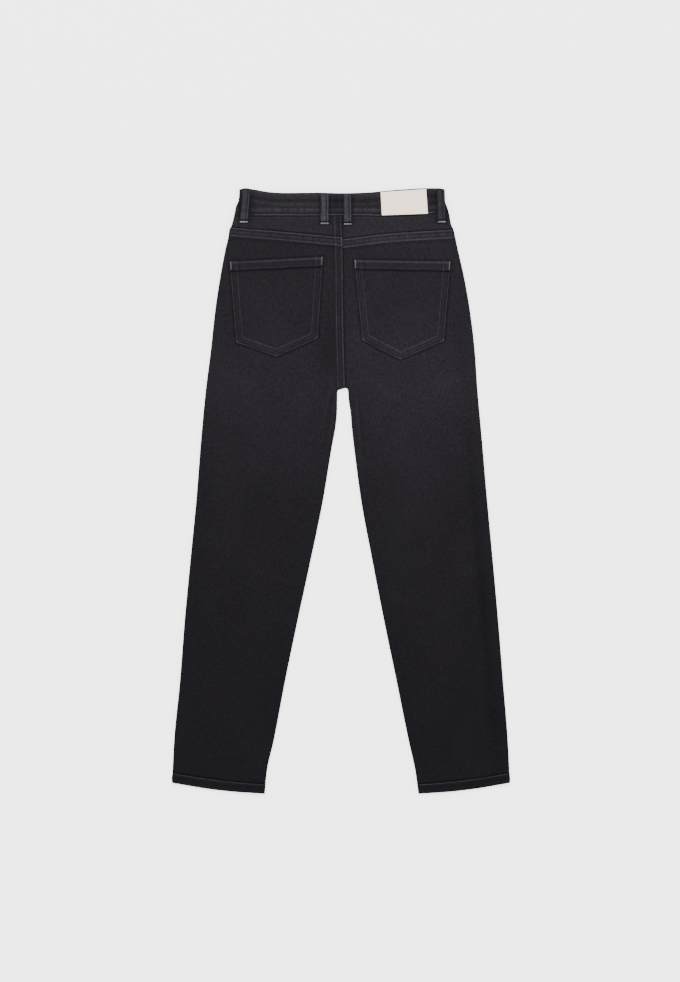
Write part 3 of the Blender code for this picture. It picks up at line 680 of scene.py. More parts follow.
@dataclass
class ClothMesh:
    """Points and quads of one piece of cloth, gathered grid by grid."""

    flip: bool = False
    parts: list[dict[str, Field]] = field(default_factory=list)
    quads: list[Field] = field(default_factory=list)
    count: int = 0

    def add(self, x: Field, down: Field, z: Field, fade: Field, anchor: int = 0) -> Field:
        """Add a grid of points, with the weave unrolled along its rows.

        Args:
            x: Places across the garment, a row for each line.
            down: Places along it.
            z: Heights.
            fade: Brightness of the cloth at each point.
            anchor: The column whose weave lies at its own x.

        Returns:
            The points' numbers, in the same grid.
        """
        steps = np.sqrt(np.diff(x, axis=1) ** 2 + np.diff(down, axis=1) ** 2 + np.diff(z, axis=1) ** 2)
        arc = np.concatenate((np.zeros((len(x), 1)), np.cumsum(steps, axis=1)), axis=1)
        way = np.sign(x[:, -1:] - x[:, anchor:anchor + 1])
        u = x[:, anchor:anchor + 1] + way * (arc - arc[:, anchor:anchor + 1])
        self.parts.append({"x": x, "down": down, "z": z, "u": u, "fade": fade})
        numbers = np.arange(self.count, self.count + x.size).reshape(x.shape)
        self.count += x.size
        return numbers

    def join(self, numbers: Field) -> None:
        """Join a grid of points with quads.

        Args:
            numbers: The points' numbers, in rows.
        """
        upper, lower = numbers[:-1], numbers[1:]
        quads = np.stack((upper[:, :-1], lower[:, :-1], lower[:, 1:], upper[:, 1:]), axis=-1).reshape(-1, 4)
        self.quads.append(quads[:, ::-1] if self.flip else quads)

    def column(self, name: str) -> Field:
        """Return one value of every point, in order."""
        return np.concatenate([part[name].ravel() for part in self.parts])

    def area(self) -> float:
        """Return the outer face's area in square metres.

        Returns:
            The area.
        """
        points = np.stack((self.column("x"), self.column("down"), self.column("z")), axis=1) * MM
        quads = np.concatenate(self.quads)
        one = points[quads[:, 2]] - points[quads[:, 0]]
        other = points[quads[:, 3]] - points[quads[:, 1]]
        return float(np.linalg.norm(np.cross(one, other), axis=1).sum() / 2.0)

    def build(self, name: str, form: GarmentForm, grain: float) -> bpy.types.Object:
        """Make the object.

        Args:
            name: The piece's name.
            form: The garment's form.
            grain: Angle of the warp from the garment's length, in degrees.

        Returns:
            The object, at the origin, with its weave map and fade.
        """
        y = form.half_length - self.column("down")
        points = np.stack((self.column("x"), y, self.column("z")), axis=1)
        mesh = bpy.data.meshes.new(name)
        mesh.from_pydata((points * MM).tolist(), [], np.concatenate(self.quads).tolist())
        mesh.update()
        u, v = self.column("u") * MM, points[:, 1] * MM
        cosine, sine = math.cos(math.radians(grain)), math.sin(math.radians(grain))
        woven = np.stack((u * cosine + v * sine, v * cosine - u * sine), axis=1)
        layer = mesh.uv_layers.new(name="weave")
        corners = np.zeros(len(mesh.loops), dtype=np.int32)
        mesh.loops.foreach_get("vertex_index", corners)
        layer.data.foreach_set("uv", woven[corners].ravel())
        # The fade attribute carries the cloth's tone with its painted light and shade.
        fade = mesh.attributes.new("fade", "FLOAT", "POINT")
        fade.data.foreach_set("value", self.column("fade"))
        mesh.shade_smooth()
        return placed(name, mesh)


@dataclass
class Bench:
    """A node tree and short ways to put nodes in it."""

    tree: bpy.types.NodeTree

    def add(self, kind: str, feeds: Feeds | None = None, **settings: object) -> bpy.types.Node:
        """Add a node.

        Args:
            kind: The node's type.
            feeds: Sockets or plain values for its inputs, by name or number.
            **settings: Its properties.

        Returns:
            The node.
        """
        node = self.tree.nodes.new(kind)
        for key, value in settings.items():
            setattr(node, key, value)
        for key, source in (feeds or {}).items():
            self.feed(source, node.inputs[key])
        return node

    def feed(self, source: object, target: bpy.types.NodeSocket) -> None:
        """Link a socket to another, or set a plain value.

        Args:
            source: A socket, number or tuple.
            target: The input to feed.
        """
        if isinstance(source, bpy.types.NodeSocket):
            self.tree.links.new(source, target)
        else:
            target.default_value = source

    def math(self, operation: str, *values: object) -> bpy.types.NodeSocket:
        """Return the result of a sum of sockets or numbers."""
        return self.add("ShaderNodeMath", dict(enumerate(values)), operation=operation).outputs[0]

    def noise(self, place: bpy.types.NodeSocket, cells: Triple, detail: float = 2.0) -> bpy.types.NodeSocket:
        """Return noise with so many cells to a metre along each axis.

        Args:
            place: Where to read it.
            cells: Cells to a metre.
            detail: How many finer layers it has.

        Returns:
            The result.
        """
        stretched = self.add("ShaderNodeMapping", {"Vector": place, "Scale": cells}).outputs[0]
        feeds = {"Vector": stretched, "Scale": 1.0, "Detail": detail}
        return self.add("ShaderNodeTexNoise", feeds).outputs["Fac"]

    def ramp(self, value: object, low: float, high: float, start: float, end: float) -> bpy.types.NodeSocket:
        """Return a value mapped from the range low to high to the range start to end."""
        return self.add("ShaderNodeMapRange", dict(enumerate((value, low, high, start, end)))).outputs[0]

    def tinted(self, colour: Triple, brightness: object) -> bpy.types.NodeSocket:
        """Return a colour times a brightness."""
        feeds = {0: colour, "Scale": brightness}
        return self.add("ShaderNodeVectorMath", feeds, operation="SCALE").outputs[0]

    def bumped(self, height: bpy.types.NodeSocket, strength: float, depth: float) -> bpy.types.NodeSocket:
        """Return the normal of a surface with bumps of a depth in millimetres."""
        feeds = {"Height": height, "Strength": strength, "Distance": depth * MM}
        return self.add("ShaderNodeBump", feeds).outputs[0]

    def cloth_map(self) -> tuple[bpy.types.NodeSocket, bpy.types.NodeSocket]:
        """Return the sockets of a piece's weave map and of its fade."""
        fade = self.add("ShaderNodeAttribute", attribute_name="fade").outputs["Fac"]
        return self.add("ShaderNodeUVMap", uv_map="weave").outputs[0], fade

    def object_place(self) -> bpy.types.NodeSocket:
        """Return the place on an object."""
        return self.add("ShaderNodeTexCoord").outputs["Object"]


FLOAT = "NodeSocketFloat"


@cache
def weave_group() -> bpy.types.NodeTree:
    """Build the node group that gives denim its twill, slubs and uneven wash, once.

    Returns:
        The group: Shade, a brightness round 1, Height for a bump, and Coarse from 0 to 1.
    """
    tree = bpy.data.node_groups.new("denim_weave", "ShaderNodeTree")
    inputs = {"Weave": ("NodeSocketVector", (0.0, 0.0, 0.0)), "Grain": (FLOAT, 1.0), "Mottle": (FLOAT, 1.0)}
    for label, (kind, value) in inputs.items():
        tree.interface.new_socket(label, in_out="INPUT", socket_type=kind).default_value = value
    for label in ("Shade", "Height", "Coarse"):
        tree.interface.new_socket(label, in_out="OUTPUT", socket_type=FLOAT)
    bench = Bench(tree)
    given = bench.add("NodeGroupInput").outputs
    weave = given["Weave"]
    slub = bench.noise(weave, (900.0, 70.0, 1.0), 3.0)
    weft = bench.noise(weave, (80.0, 700.0, 1.0), 2.0)
    fleck = bench.noise(weave, (1500.0, 900.0, 1.0), 1.0)
    crumb = bench.noise(weave, (330.0, 210.0, 1.0), 3.0)
    wash = bench.noise(weave, (38.0, 26.0, 1.0), 4.0)
    cloud = bench.noise(weave, (13.0, 8.0, 1.0), 2.0)
    threads = bench.ramp(slub, 0.25, 0.75, -0.6, 0.6)
    for part, low, high, swing in ((weft, 0.25, 0.75, 0.3), (fleck, 0.2, 0.8, 0.4), (crumb, 0.25, 0.75, 0.8)):
        threads = bench.math("ADD", threads, bench.ramp(part, low, high, -swing, swing))
    threads = bench.math("MULTIPLY", threads, given["Grain"])
    clouds = bench.ramp(cloud, 0.3, 0.7, -0.5, 0.5)
    patches = bench.math("ADD", bench.ramp(wash, 0.25, 0.75, -0.5, 0.5), clouds)
    patches = bench.math("MULTIPLY", patches, given["Mottle"])
    shade = bench.math("ADD", bench.math("ADD", threads, patches), 1.0)
    feeds = {"Vector": weave, "Scale": 300.0, "Distortion": 1.2, "Detail": 1.0}
    twill = bench.add("ShaderNodeTexWave", feeds, wave_type="BANDS", bands_direction="DIAGONAL")
    ridges = bench.math("MULTIPLY", twill.outputs["Fac"], 0.5)
    height = bench.math("ADD", ridges, bench.math("MULTIPLY", slub, 0.8))
    shade = bench.math("MAXIMUM", shade, 0.2)
    bench.add("NodeGroupOutput", {"Shade": shade, "Height": height, "Coarse": wash})
    return tree


@dataclass(frozen=True)
class Finish:
    """A finish: a material's name and its linear colour."""

    name: str
    colour: Triple

    def make(self) -> bpy.types.Material:
        """Build the material.

        Returns:
            The material.
        """
        material = bpy.data.materials.new(self.name)
        material.use_nodes = True
        bench = Bench(material.node_tree)
        shader = material.node_tree.nodes["Principled BSDF"]
        for key, source in self.inputs(bench).items():
            bench.feed(source, shader.inputs[key])
        return material

    def inputs(self, bench: Bench) -> Feeds:
        """Return what goes into the shader; each kind of finish gives its own."""
        raise NotImplementedError


@dataclass(frozen=True)
class DenimFinish(Finish):
    """Washed cotton cloth: how much its yarns and its wash vary, its shine and its weave's height."""

    grain: float = 0.36
    mottle: float = 0.13
    roughness: float = 0.82
    specular: float = 0.04
    bump: float = 0.12

    def inputs(self, bench: Bench) -> Feeds:
        """Return what goes into the shader.

        Args:
            bench: The bench to put nodes on.

        Returns:
            The inputs.
        """
        place, fade = bench.cloth_map()
        feeds = {"Weave": place, "Grain": self.grain, "Mottle": self.mottle}
        weave = bench.add("ShaderNodeGroup", feeds, node_tree=weave_group()).outputs
        return {
            "Base Color": bench.tinted(self.colour, bench.math("MULTIPLY", fade, weave["Shade"])),
            "Roughness": bench.ramp(weave["Coarse"], 0.2, 0.8, self.roughness - 0.06, self.roughness + 0.08),
            "Specular IOR Level": self.specular,
            "Normal": bench.bumped(weave["Height"], 0.6, self.bump),
        }


@dataclass(frozen=True)
class LeatherFinish(Finish):
    """Smooth pale leather board, bare of any print."""

    shade: float = 0.05
    roughness: float = 0.62

    def inputs(self, bench: Bench) -> Feeds:
        """Return what goes into the shader.

        Args:
            bench: The bench to put nodes on.

        Returns:
            The inputs.
        """
        place, fade = bench.cloth_map()
        cloud = bench.noise(place, (60.0, 60.0, 1.0), 4.0)
        grain = bench.noise(place, (1400.0, 1400.0, 1.0), 3.0)
        value = bench.ramp(cloud, 0.3, 0.7, 1.0 - self.shade, 1.0)
        return {
            "Base Color": bench.tinted(self.colour, bench.math("MULTIPLY", value, fade)),
            "Roughness": bench.ramp(grain, 0.3, 0.7, self.roughness - 0.05, self.roughness + 0.1),
            "Specular IOR Level": 0.3,
            "Normal": bench.bumped(grain, 0.3, 0.05),
        }


@dataclass(frozen=True)
class ThreadFinish(Finish):
    """Spun sewing thread, whose brightness varies by its wear."""

    wear: float = 0.35

    def inputs(self, bench: Bench) -> Feeds:
        """Return what goes into the shader.

        Args:
            bench: The bench to put nodes on.

        Returns:
            The inputs.
        """
        place = bench.object_place()
        worn = bench.noise(place, (45.0, 45.0, 45.0), 3.0)
        twist = bench.noise(place, (2600.0, 2600.0, 2600.0), 1.0)
        value = bench.ramp(worn, 0.3, 0.7, 1.0 - self.wear, 1.0 + self.wear)
        value = bench.math("MULTIPLY", value, bench.ramp(twist, 0.3, 0.7, 0.8, 1.2))
        return {"Base Color": bench.tinted(self.colour, value), "Roughness": 0.7, "Specular IOR Level": 0.25}


@dataclass(frozen=True)
class MetalFinish(Finish):
    """Darkened metal, rubbed brighter in places."""

    roughness: float = 0.38

    def inputs(self, bench: Bench) -> Feeds:
        """Return what goes into the shader.

        Args:
            bench: The bench to put nodes on.

        Returns:
            The inputs.
        """
        rubbed = bench.noise(bench.object_place(), (300.0, 300.0, 300.0), 4.0)
        return {
            "Base Color": bench.tinted(self.colour, bench.ramp(rubbed, 0.35, 0.65, 0.7, 1.5)),
            "Roughness": bench.ramp(rubbed, 0.3, 0.7, self.roughness + 0.1, self.roughness - 0.08),
            "Metallic": 1.0,
        }


@dataclass(frozen=True)
class FloorFinish(Finish):
    """An even floor that gives some light itself, as a lit table does."""

    tone: float = 0.88
    glow: float = 1.95

    def inputs(self, bench: Bench) -> Feeds:
        """Return what goes into the shader.

        Args:
            bench: The bench to put nodes on.

        Returns:
            The inputs.
        """
        cloud = bench.noise(bench.object_place(), (0.6, 0.6, 0.6), 1.0)
        level = bench.ramp(cloud, 0.0, 1.0, self.tone - 0.002, self.tone + 0.002)
        return {
            "Base Color": bench.tinted(self.colour, level), "Roughness": 0.95, "Specular IOR Level": 0.0,
            "Emission Color": (1.0, 1.0, 1.0, 1.0), "Emission Strength": self.glow,
        }


class Look(Enum):
    """The finishes of the garment and its floor."""

    BLACK = DenimFinish("black_denim", (0.0092, 0.0080, 0.0104))
    WORN = DenimFinish("worn_black_denim", (0.0115, 0.0102, 0.0129), mottle=0.17)
    LOOP = DenimFinish("loop_denim", (0.0176, 0.0161, 0.0204), grain=0.45)
    PATCH = LeatherFinish("pale_patch", (1.0, 0.83, 0.655))
    TONAL = ThreadFinish("tonal_thread", (0.036, 0.034, 0.039), wear=0.5)
    PALE = ThreadFinish("pale_thread", (0.078, 0.075, 0.083), wear=0.5)
    BAR = ThreadFinish("bar_thread", (0.19, 0.185, 0.20), wear=0.6)
    CREAM = ThreadFinish("cream_thread", (0.80, 0.70, 0.58), wear=0.08)
    METAL = MetalFinish("dark_metal", (0.16, 0.15, 0.14))
    FLOOR = FloorFinish("pale_floor", (1.0, 1.0, 1.0))


@cache
def material_of(look: Look) -> bpy.types.Material:
    """Return a look's material, which is built once."""
    return look.value.make()


@dataclass(frozen=True)
class Cut:
    """The flat size that a piece was cut to, in metres."""

    width: float
    length: float
    area: float


@dataclass
class ClothPiece:
    """A piece of cloth that stands for one solid."""

    form: GarmentForm
    fades: ToneAndShadeMap
    look: Look
    node: str = ""
    slot: str = "black_denim"
    wall: float = 1.2
    grain: float = 0.0
    edge: float = 0.0
    cut: Cut = Cut(0.1, 0.1, 0.01)
    lies_on: tuple[str, ...] = ("floor",)

    @property
    def name(self) -> str:
        """Return the piece's name."""
        return self.node + "_cloth"

    def mesh(self) -> ClothMesh:
        """Return the piece's outer face; each kind of piece makes its own."""
        raise NotImplementedError

    def washed(self, x: Field, down: Field, light: Field = 0.0) -> Field:
        """Return the cloth's tone with its painted light and shade, and a seam's marks added."""
        return np.maximum(self.fades.value(self.form, x, down) * (1.0 + light), 0.1)

    def make(self) -> bpy.types.Object:
        """Returns:
            The finished object.
        """
        mesh = self.mesh()
        piece = mesh.build(self.name, self.form, self.grain)
        piece.data.materials.append(material_of(self.look))
        wall = piece.modifiers.new("wall", "SOLIDIFY")
        wall.thickness = self.wall * MM
        wall.offset = -1.0
        wall.use_even_offset = False
        if self.edge > 0.0:
            rounding = piece.modifiers.new("rounding", "BEVEL")
            rounding.width = self.edge * MM
            rounding.segments = 2
            rounding.limit_method = "ANGLE"
            rounding.angle_limit = math.radians(60.0)
        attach(piece, BODY)
        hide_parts(self.node)
        log.info("%s: %d points, outer face %.4f m2", self.name, mesh.count, mesh.area())
        return piece


RIM_ANGLES = np.radians(np.arange(-90.0, 90.1, 15.0))
UNDER_STEPS = (0.0, 0.35, 0.7)


def folded_edge(form: GarmentForm, position: Callable, top: Height, wrap: float) -> Points:
    """Return a folded edge, from under the piece round to its outer face.

    Args:
        form: The garment's form.
        position: Gives x and down at a distance in from the edge.
        top: Gives the outer face's height.
        wrap: How far in the cloth turns under.

    Returns:
        x, down and z of its points.
    """
    turn_x, turn_down = position(np.array([form.edge_turn]))
    low = form.lift(turn_x, turn_down)
    half_height = (top(turn_x, turn_down) - low) / 2.0
    under_x, under_down = position(wrap + (form.edge_turn - wrap) * np.array(UNDER_STEPS))
    x, down = position(form.edge_turn * (1.0 - np.cos(RIM_ANGLES)))
    z = low + half_height * (1.0 + np.sin(RIM_ANGLES))
    under_z = form.lift(under_x, under_down)
    return np.concatenate((under_x, x)), np.concatenate((under_down, down)), np.concatenate((under_z, z))


RIM_COLUMNS = len(RIM_ANGLES) + len(UNDER_STEPS) - 1
OUTER_COLUMNS = (1.6, 3.4, 5.6, 8.2, 11.4, 15.2, 19.8, 25.0)
CENTRE_COLUMNS = (
    0.8, 1.6, 2.4, 3.4, 4.8, 6.4, 8.0, 9.4, 10.6, 11.6, 12.6, 13.8, 15.4, 17.4, 20.4, 24.4, 29.0,
)
TUCKED_COLUMNS = (1.8, 2.4, 2.7)
FAR = 999.0


def seat_columns(form: GarmentForm, side: Side, near: Table) -> tuple[float, Table]:
    """Return where a line across the seat stops, and its close columns.

    Args:
        form: The garment's form.
        side: The half; the right one runs on under the centre seam's lap.
        near: The close columns beside the outer edge and the centre seam.

    Returns:
        The distance in from the seam, less than 0 past it, and the columns.
    """
    if side is Side.LEFT:
        return 0.0, near
    moved = tuple(form.underlap + distance for distance in (0.0, *near[1]))
    return -form.underlap, (near[0], TUCKED_COLUMNS + moved)


@dataclass
class PanelLines:
    """The lines across a back or front panel, from the yoke seam to the hem turn-up."""

    form: GarmentForm
    side: Side
    seat_step: float = 2.5
    leg_step: float = 3.3
    tucked: bool = False
    notch_drop: float = 2.2
    seat_rows: Table = (
        (104.0, 116.0), (132.0, 142.0), (162.0, 170.0), (194.0, 200.0), (226.0, 230.0),
        (256.0, 260.0), (284.0, 286.0), (303.0, 306.0), (314.0, 321.3),
    )
    leg_rows: Table = (
        (329.0, 329.3, 0.0), (338.0, 340.0, 0.0), (356.0, 360.0, 0.0), (380.0, 386.0, 0.0),
        (412.0, 421.0, 0.0), (448.0, 459.0, 0.0), (486.0, 498.0, 0.0), (526.0, 539.0, 0.0),
        (568.0, 581.0, 0.0), (610.0, 624.0, 0.0), (652.0, 667.0, 0.0), (694.0, 709.0, 0.0),
        (736.0, 752.0, 0.0), (778.0, 795.0, 0.0), (820.0, 838.0, 0.0), (862.0, 880.0, 0.0),
        (900.0, 918.0, 0.0), (928.0, 946.5, 1.8), (946.8, 965.4, 2.6),
    )
    corner: dict[Side, float] = field(default_factory=lambda: {Side.LEFT: 5.0, Side.RIGHT: 3.5})

    def outer(self, down: float) -> Pair:
        """Return the point of the outer edge at a down."""
        return (float(self.form.outer_edge[self.side](down)), down)

    def seat(self) -> list[Line]:
        """Return the lines from the first straight one to the one above the notch."""
        rows = filled(self.seat_rows, self.seat_step)[:-1]
        return [Line(self.outer(a), self.form.seam_point(self.side, b)) for a, b in rows]

    def notch(self) -> list[Line]:
        """Return the lines that end on the notch's top edge and round its corner.

        Returns:
            The lines.
        """
        form, towards, radius = self.form, self.side.inward, self.corner[self.side]
        corner_x = float(form.inner_edge[self.side](form.notch_down))
        start_x = form.seam_point(self.side, form.notch_down)[0] - (form.underlap if self.tucked else 0.0)
        drop = self.notch_drop if self.side is Side.LEFT else 0.0
        centre = (corner_x + towards * radius, form.notch_down + drop + radius)
        lines = []
        for share in np.linspace(0.0, 1.0, 4)[:-1]:
            inner = (start_x + (centre[0] - start_x) * share, form.notch_down + drop * share)
            lines.append(Line(self.outer(314.0 + 5.0 * share), inner, normal=(0.0, -1.0)))
        for angle in np.radians(np.arange(90.0, -0.1, -15.0)):
            normal = (-towards * math.cos(angle), -math.sin(angle))
            point = (centre[0] + normal[0] * radius, centre[1] + normal[1] * radius)
            side_down = 329.0 - 10.0 * angle / (math.pi / 2.0)
            lines.append(Line(self.outer(side_down), point, normal=normal))
        return lines

    def leg(self) -> list[Line]:
        """Return the lines of the leg, down to the hem turn-up.

        Returns:
            The lines.
        """
        edge = self.form.inner_edge[self.side]
        rows = filled(self.leg_rows, self.leg_step)[1:]
        return [Line(self.outer(a), (float(edge(b)), b), bow) for a, b, bow in rows]


@dataclass
class BackPanel(ClothPiece):
    """A back panel: the seat and the back of the leg, turned under at both edges."""

    side: Side = Side.LEFT
    below_seam: tuple[float, ...] = (
        0.0, 0.8, 1.6, 2.4, 3.4, 4.8, 6.4, 8.0, 9.6, 11.2, 12.4, 13.4, 14.4, 15.6, 17.0, 18.5,
    )
    near: Table = (OUTER_COLUMNS, CENTRE_COLUMNS)
    middle: int = 44
    # Marks with light below 0 are painted shade: at the fell's edge and below its step, beside the centre
    # seam's lap, and in the troughs between the rows; pocket_shadow and hem_shadow paint the shadows that the
    # pocket and the hem turn-up cast.
    yoke_marks: tuple[Mark, ...] = (
        Mark(-0.2, 0.7, -0.3),
        Mark(1.6, 1.3, 1.5, patchy=0.35, wave=16, seed=11),
        Mark(4.6, 0.9, -0.14, -0.1),
        Mark(7.4, 1.9, 1.1, -0.3, patchy=0.9, wave=9, seed=12),
        Mark(10.6, 1, -0.14, -0.08),
        Mark(13.1, 1.3, 1.4, patchy=0.5, wave=14, seed=13),
        Mark(17.2, 1.7, -0.26),
    )
    centre_marks: tuple[Mark, ...] = (
        Mark(1.5, 1.1, 0.8, patchy=0.35, wave=18, seed=21),
        Mark(4.2, 1, -0.12),
        Mark(6.5, 1.5, 0.26, -0.22, patchy=0.9, wave=9.5, seed=22),
        Mark(8.9, 1, -0.1),
        Mark(11.2, 1.1, 0.4, patchy=0.6, wave=15, seed=23),
        Mark(14.6, 1.6, -0.14),
    )
    under_fell: tuple[Mark, ...] = (Mark(-1.0, 1.4, -0.34), Mark(-7.0, 3.0, 0.06, -0.2, 1.0, 10.0, 24),)
    pocket_shadow: tuple[Mark, ...] = (Mark(1.4, 1.7, -0.3), Mark(5.5, 2.0, 0.1, 0.12, 1.0, 9.0, 25))
    hem_shadow: tuple[Mark, ...] = (Mark(0.8, 1.5, -0.4), Mark(4.4, 1.6, 0.1, 0.1, 1.0, 14.0, 26))
    pocket: "Outline | None" = None
    hem: "Outline | None" = None

    def seams(self, x: Field, down: Field) -> Seams:
        """Return each seam's marks with the distances from it and along it.

        Args:
            x: Places across the garment.
            down: Places along it.

        Returns:
            The marks with their distances.
        """
        form = self.form
        own = self.centre_marks if self.side is Side.LEFT else self.under_fell
        beside = np.where(down > form.notch_down + 1.0, FAR, form.centre_x(down) - x)
        found = [(self.yoke_marks, down - form.yoke_down[self.side](x), x), (own, beside, down)]
        for marks, outline in ((self.pocket_shadow, self.pocket), (self.hem_shadow, self.hem)):
            if outline is not None:
                found.append((marks, *outline.beside(x, down)))
        return found

    def height(self, x: Field, down: Field) -> Field:
        """Return the height of the outer face with its puckers."""
        total = self.form.panel_top(self.side, x, down) - self.form.tucked(self.side, x, down)
        return total + summed(Effect.RISE, self.seams(x, down))

    def fade(self, x: Field, down: Field) -> Field:
        """Return the brightness of the cloth."""
        return self.washed(x, down, summed(Effect.LIGHT, self.seams(x, down)))

    def seat_start(self, lines: PanelLines) -> list[tuple[Line, Field, Field]]:
        """Return the rows that follow the yoke seam and then straighten.

        Args:
            lines: The panel's lines.

        Returns:
            Each row's line and the x and down of its flat points.
        """
        form = self.form
        seam = form.yoke_down[self.side]
        edge_x = float(form.outer_edge[self.side](form.yoke_side_down))
        start = (float(seam(edge_x)), float(seam(form.yoke_point_x)))
        last = self.below_seam[-1]
        first_straight = lines.seat_rows[0]
        table = [(start[0] + below, start[1] + below, below, 1.0) for below in self.below_seam]
        ends = ((start[0] + last, start[1] + last, last, 1.0), (*first_straight, last, 0.0))
        table += filled(ends, lines.seat_step)[1:-1]
        rows = []
        for outer_down, inner_down, below, curved in table:
            line = Line(lines.outer(outer_down), form.seam_point(self.side, inner_down))
            x, straight = line.across(form.edge_turn, *seat_columns(form, self.side, self.near), self.middle)
            chord = start[0] + below + (start[1] - start[0]) * (x - edge_x) / (form.yoke_point_x - edge_x)
            rows.append((line, x, straight + curved * (seam(x) + below - chord)))
            if curved == 1.0:
                rows[-1] = (line, x, seam(x) + below)
        return rows

    def mesh(self) -> ClothMesh:
        """Return the panel's outer face.

        Returns:
            The mesh.
        """
        form = self.form
        lines = PanelLines(form, self.side, tucked=self.side is Side.RIGHT)
        rows = self.seat_start(lines)
        last, near = seat_columns(form, self.side, self.near)
        for line in lines.seat():
            rows.append((line, *line.across(form.edge_turn, last, near, self.middle)))
        open_count = len(rows)
        for line in lines.notch() + lines.leg():
            rows.append((line, *line.across(form.edge_turn, form.edge_turn, near, self.middle)))
        cloth = ClothMesh(flip=self.side is Side.RIGHT)
        main, inner = [], []
        for number, (line, x, down) in enumerate(rows):
            rim = folded_edge(form, line.at, self.height, form.wrap)
            flat = (x, down, self.height(x, down))
            main.append([np.concatenate((a[:-1], b)) for a, b in zip(rim, flat)])
            if number >= open_count:
                rim = folded_edge(form, line.from_inner, self.height, form.wrap)
                inner.append([a[::-1] for a in rim])
        grid = grid_of(main)
        numbers = cloth.add(*grid, self.fade(grid[0], grid[1]), RIM_COLUMNS)
        cloth.join(numbers)
        edge = grid_of(inner)
        edge_numbers = cloth.add(*(part[:, 1:] for part in edge), self.fade(edge[0], edge[1])[:, 1:])
        cloth.join(np.concatenate((numbers[open_count:, -1:], edge_numbers), axis=1))
        return cloth


@dataclass
class Yoke(ClothPiece):
    """A yoke, between the waistband's seam and the back panel, turned under at the side."""

    side: Side = Side.LEFT
    near: Table = (OUTER_COLUMNS, CENTRE_COLUMNS)
    middle: int = 56
    shares: int = 18
    # Marks with light below 0 are painted shade: along the steps at the waistband seam, the yoke seam and the
    # centre seam's lap, and in the troughs between the rows.
    top_marks: tuple[Mark, ...] = (
        Mark(0.2, 1, -0.35), Mark(2.6, 1.2, 0.3, patchy=0.6, wave=20, seed=31),
        Mark(7.5, 3.5, 0.07, -0.3, 1, 11, 32),
    )
    bottom_marks: tuple[Mark, ...] = (Mark(0.5, 1.6, -0.4), Mark(4.5, 3.5, 0.06, -0.25, 1.0, 10.0, 33),)
    centre_marks: tuple[Mark, ...] = (
        Mark(-0.2, 0.9, -0.4), Mark(2, 1, 0.22, patchy=0.5, wave=9, seed=34), Mark(5, 1.5, -0.4),
        Mark(8.5, 1.3, -0.14, patchy=0.5, wave=7, seed=35),
        Mark(11.6, 1, 0.26, patchy=0.5, wave=9, seed=36),
        Mark(15, 1.3, -0.3), Mark(18, 1.4, 0.08, patchy=0.5, seed=37),
    )
    under_fell: tuple[Mark, ...] = (Mark(-1.2, 1.8, -0.3),)

    def seams(self, x: Field, down: Field) -> Seams:
        """Return each seam's marks with the distances from it and along it.

        Args:
            x: Places across the garment.
            down: Places along it.

        Returns:
            The marks with their distances.
        """
        form = self.form
        own = self.centre_marks if self.side is Side.LEFT else self.under_fell
        return [
            (self.top_marks, down - form.band_bottom_down(x), x),
            (self.bottom_marks, form.yoke_down[self.side](x) - down, x + 40.0),
            (own, form.centre_x(down) - x, down),
        ]

    def height(self, x: Field, down: Field) -> Field:
        """Return the height of the outer face with its puckers."""
        total = self.form.yoke_top(self.side, x, down) - self.form.tucked(self.side, x, down)
        return total + summed(Effect.RISE, self.seams(x, down))

    def mesh(self) -> ClothMesh:
        """Return the yoke's outer face.

        Returns:
            The mesh.
        """
        form = self.form
        side_x = float(form.outer_edge[self.side](41.0))
        lower_x = float(form.outer_edge[self.side](form.yoke_side_down))
        seam = form.yoke_down[self.side]
        sides = (float(form.band_bottom_down(side_x)) + form.gap, float(seam(lower_x)) - form.gap)
        point = form.yoke_point_x
        seams = (float(form.band_bottom_down(point)) + form.gap, float(seam(point)) - form.gap)
        rows = []
        for share in np.linspace(0.0, 1.0, self.shares):
            side_down = sides[0] + (sides[1] - sides[0]) * share
            outer = (float(form.outer_edge[self.side](side_down)), side_down)
            line = Line(outer, form.seam_point(self.side, seams[0] + (seams[1] - seams[0]) * share))
            x, _ = line.across(form.edge_turn, *seat_columns(form, self.side, self.near), self.middle)
            upper = form.band_bottom_down(x) + form.gap
            down = upper + (seam(x) - form.gap - upper) * share
            rim = folded_edge(form, line.at, self.height, form.wrap)
            rows.append([np.concatenate((a[:-1], b)) for a, b in zip(rim, (x, down, self.height(x, down)))])
        grid = grid_of(rows)
        light = summed(Effect.LIGHT, self.seams(grid[0], grid[1]))
        cloth = ClothMesh(flip=self.side is Side.RIGHT)
        cloth.join(cloth.add(*grid, self.washed(grid[0], grid[1], light), RIM_COLUMNS))
        return cloth


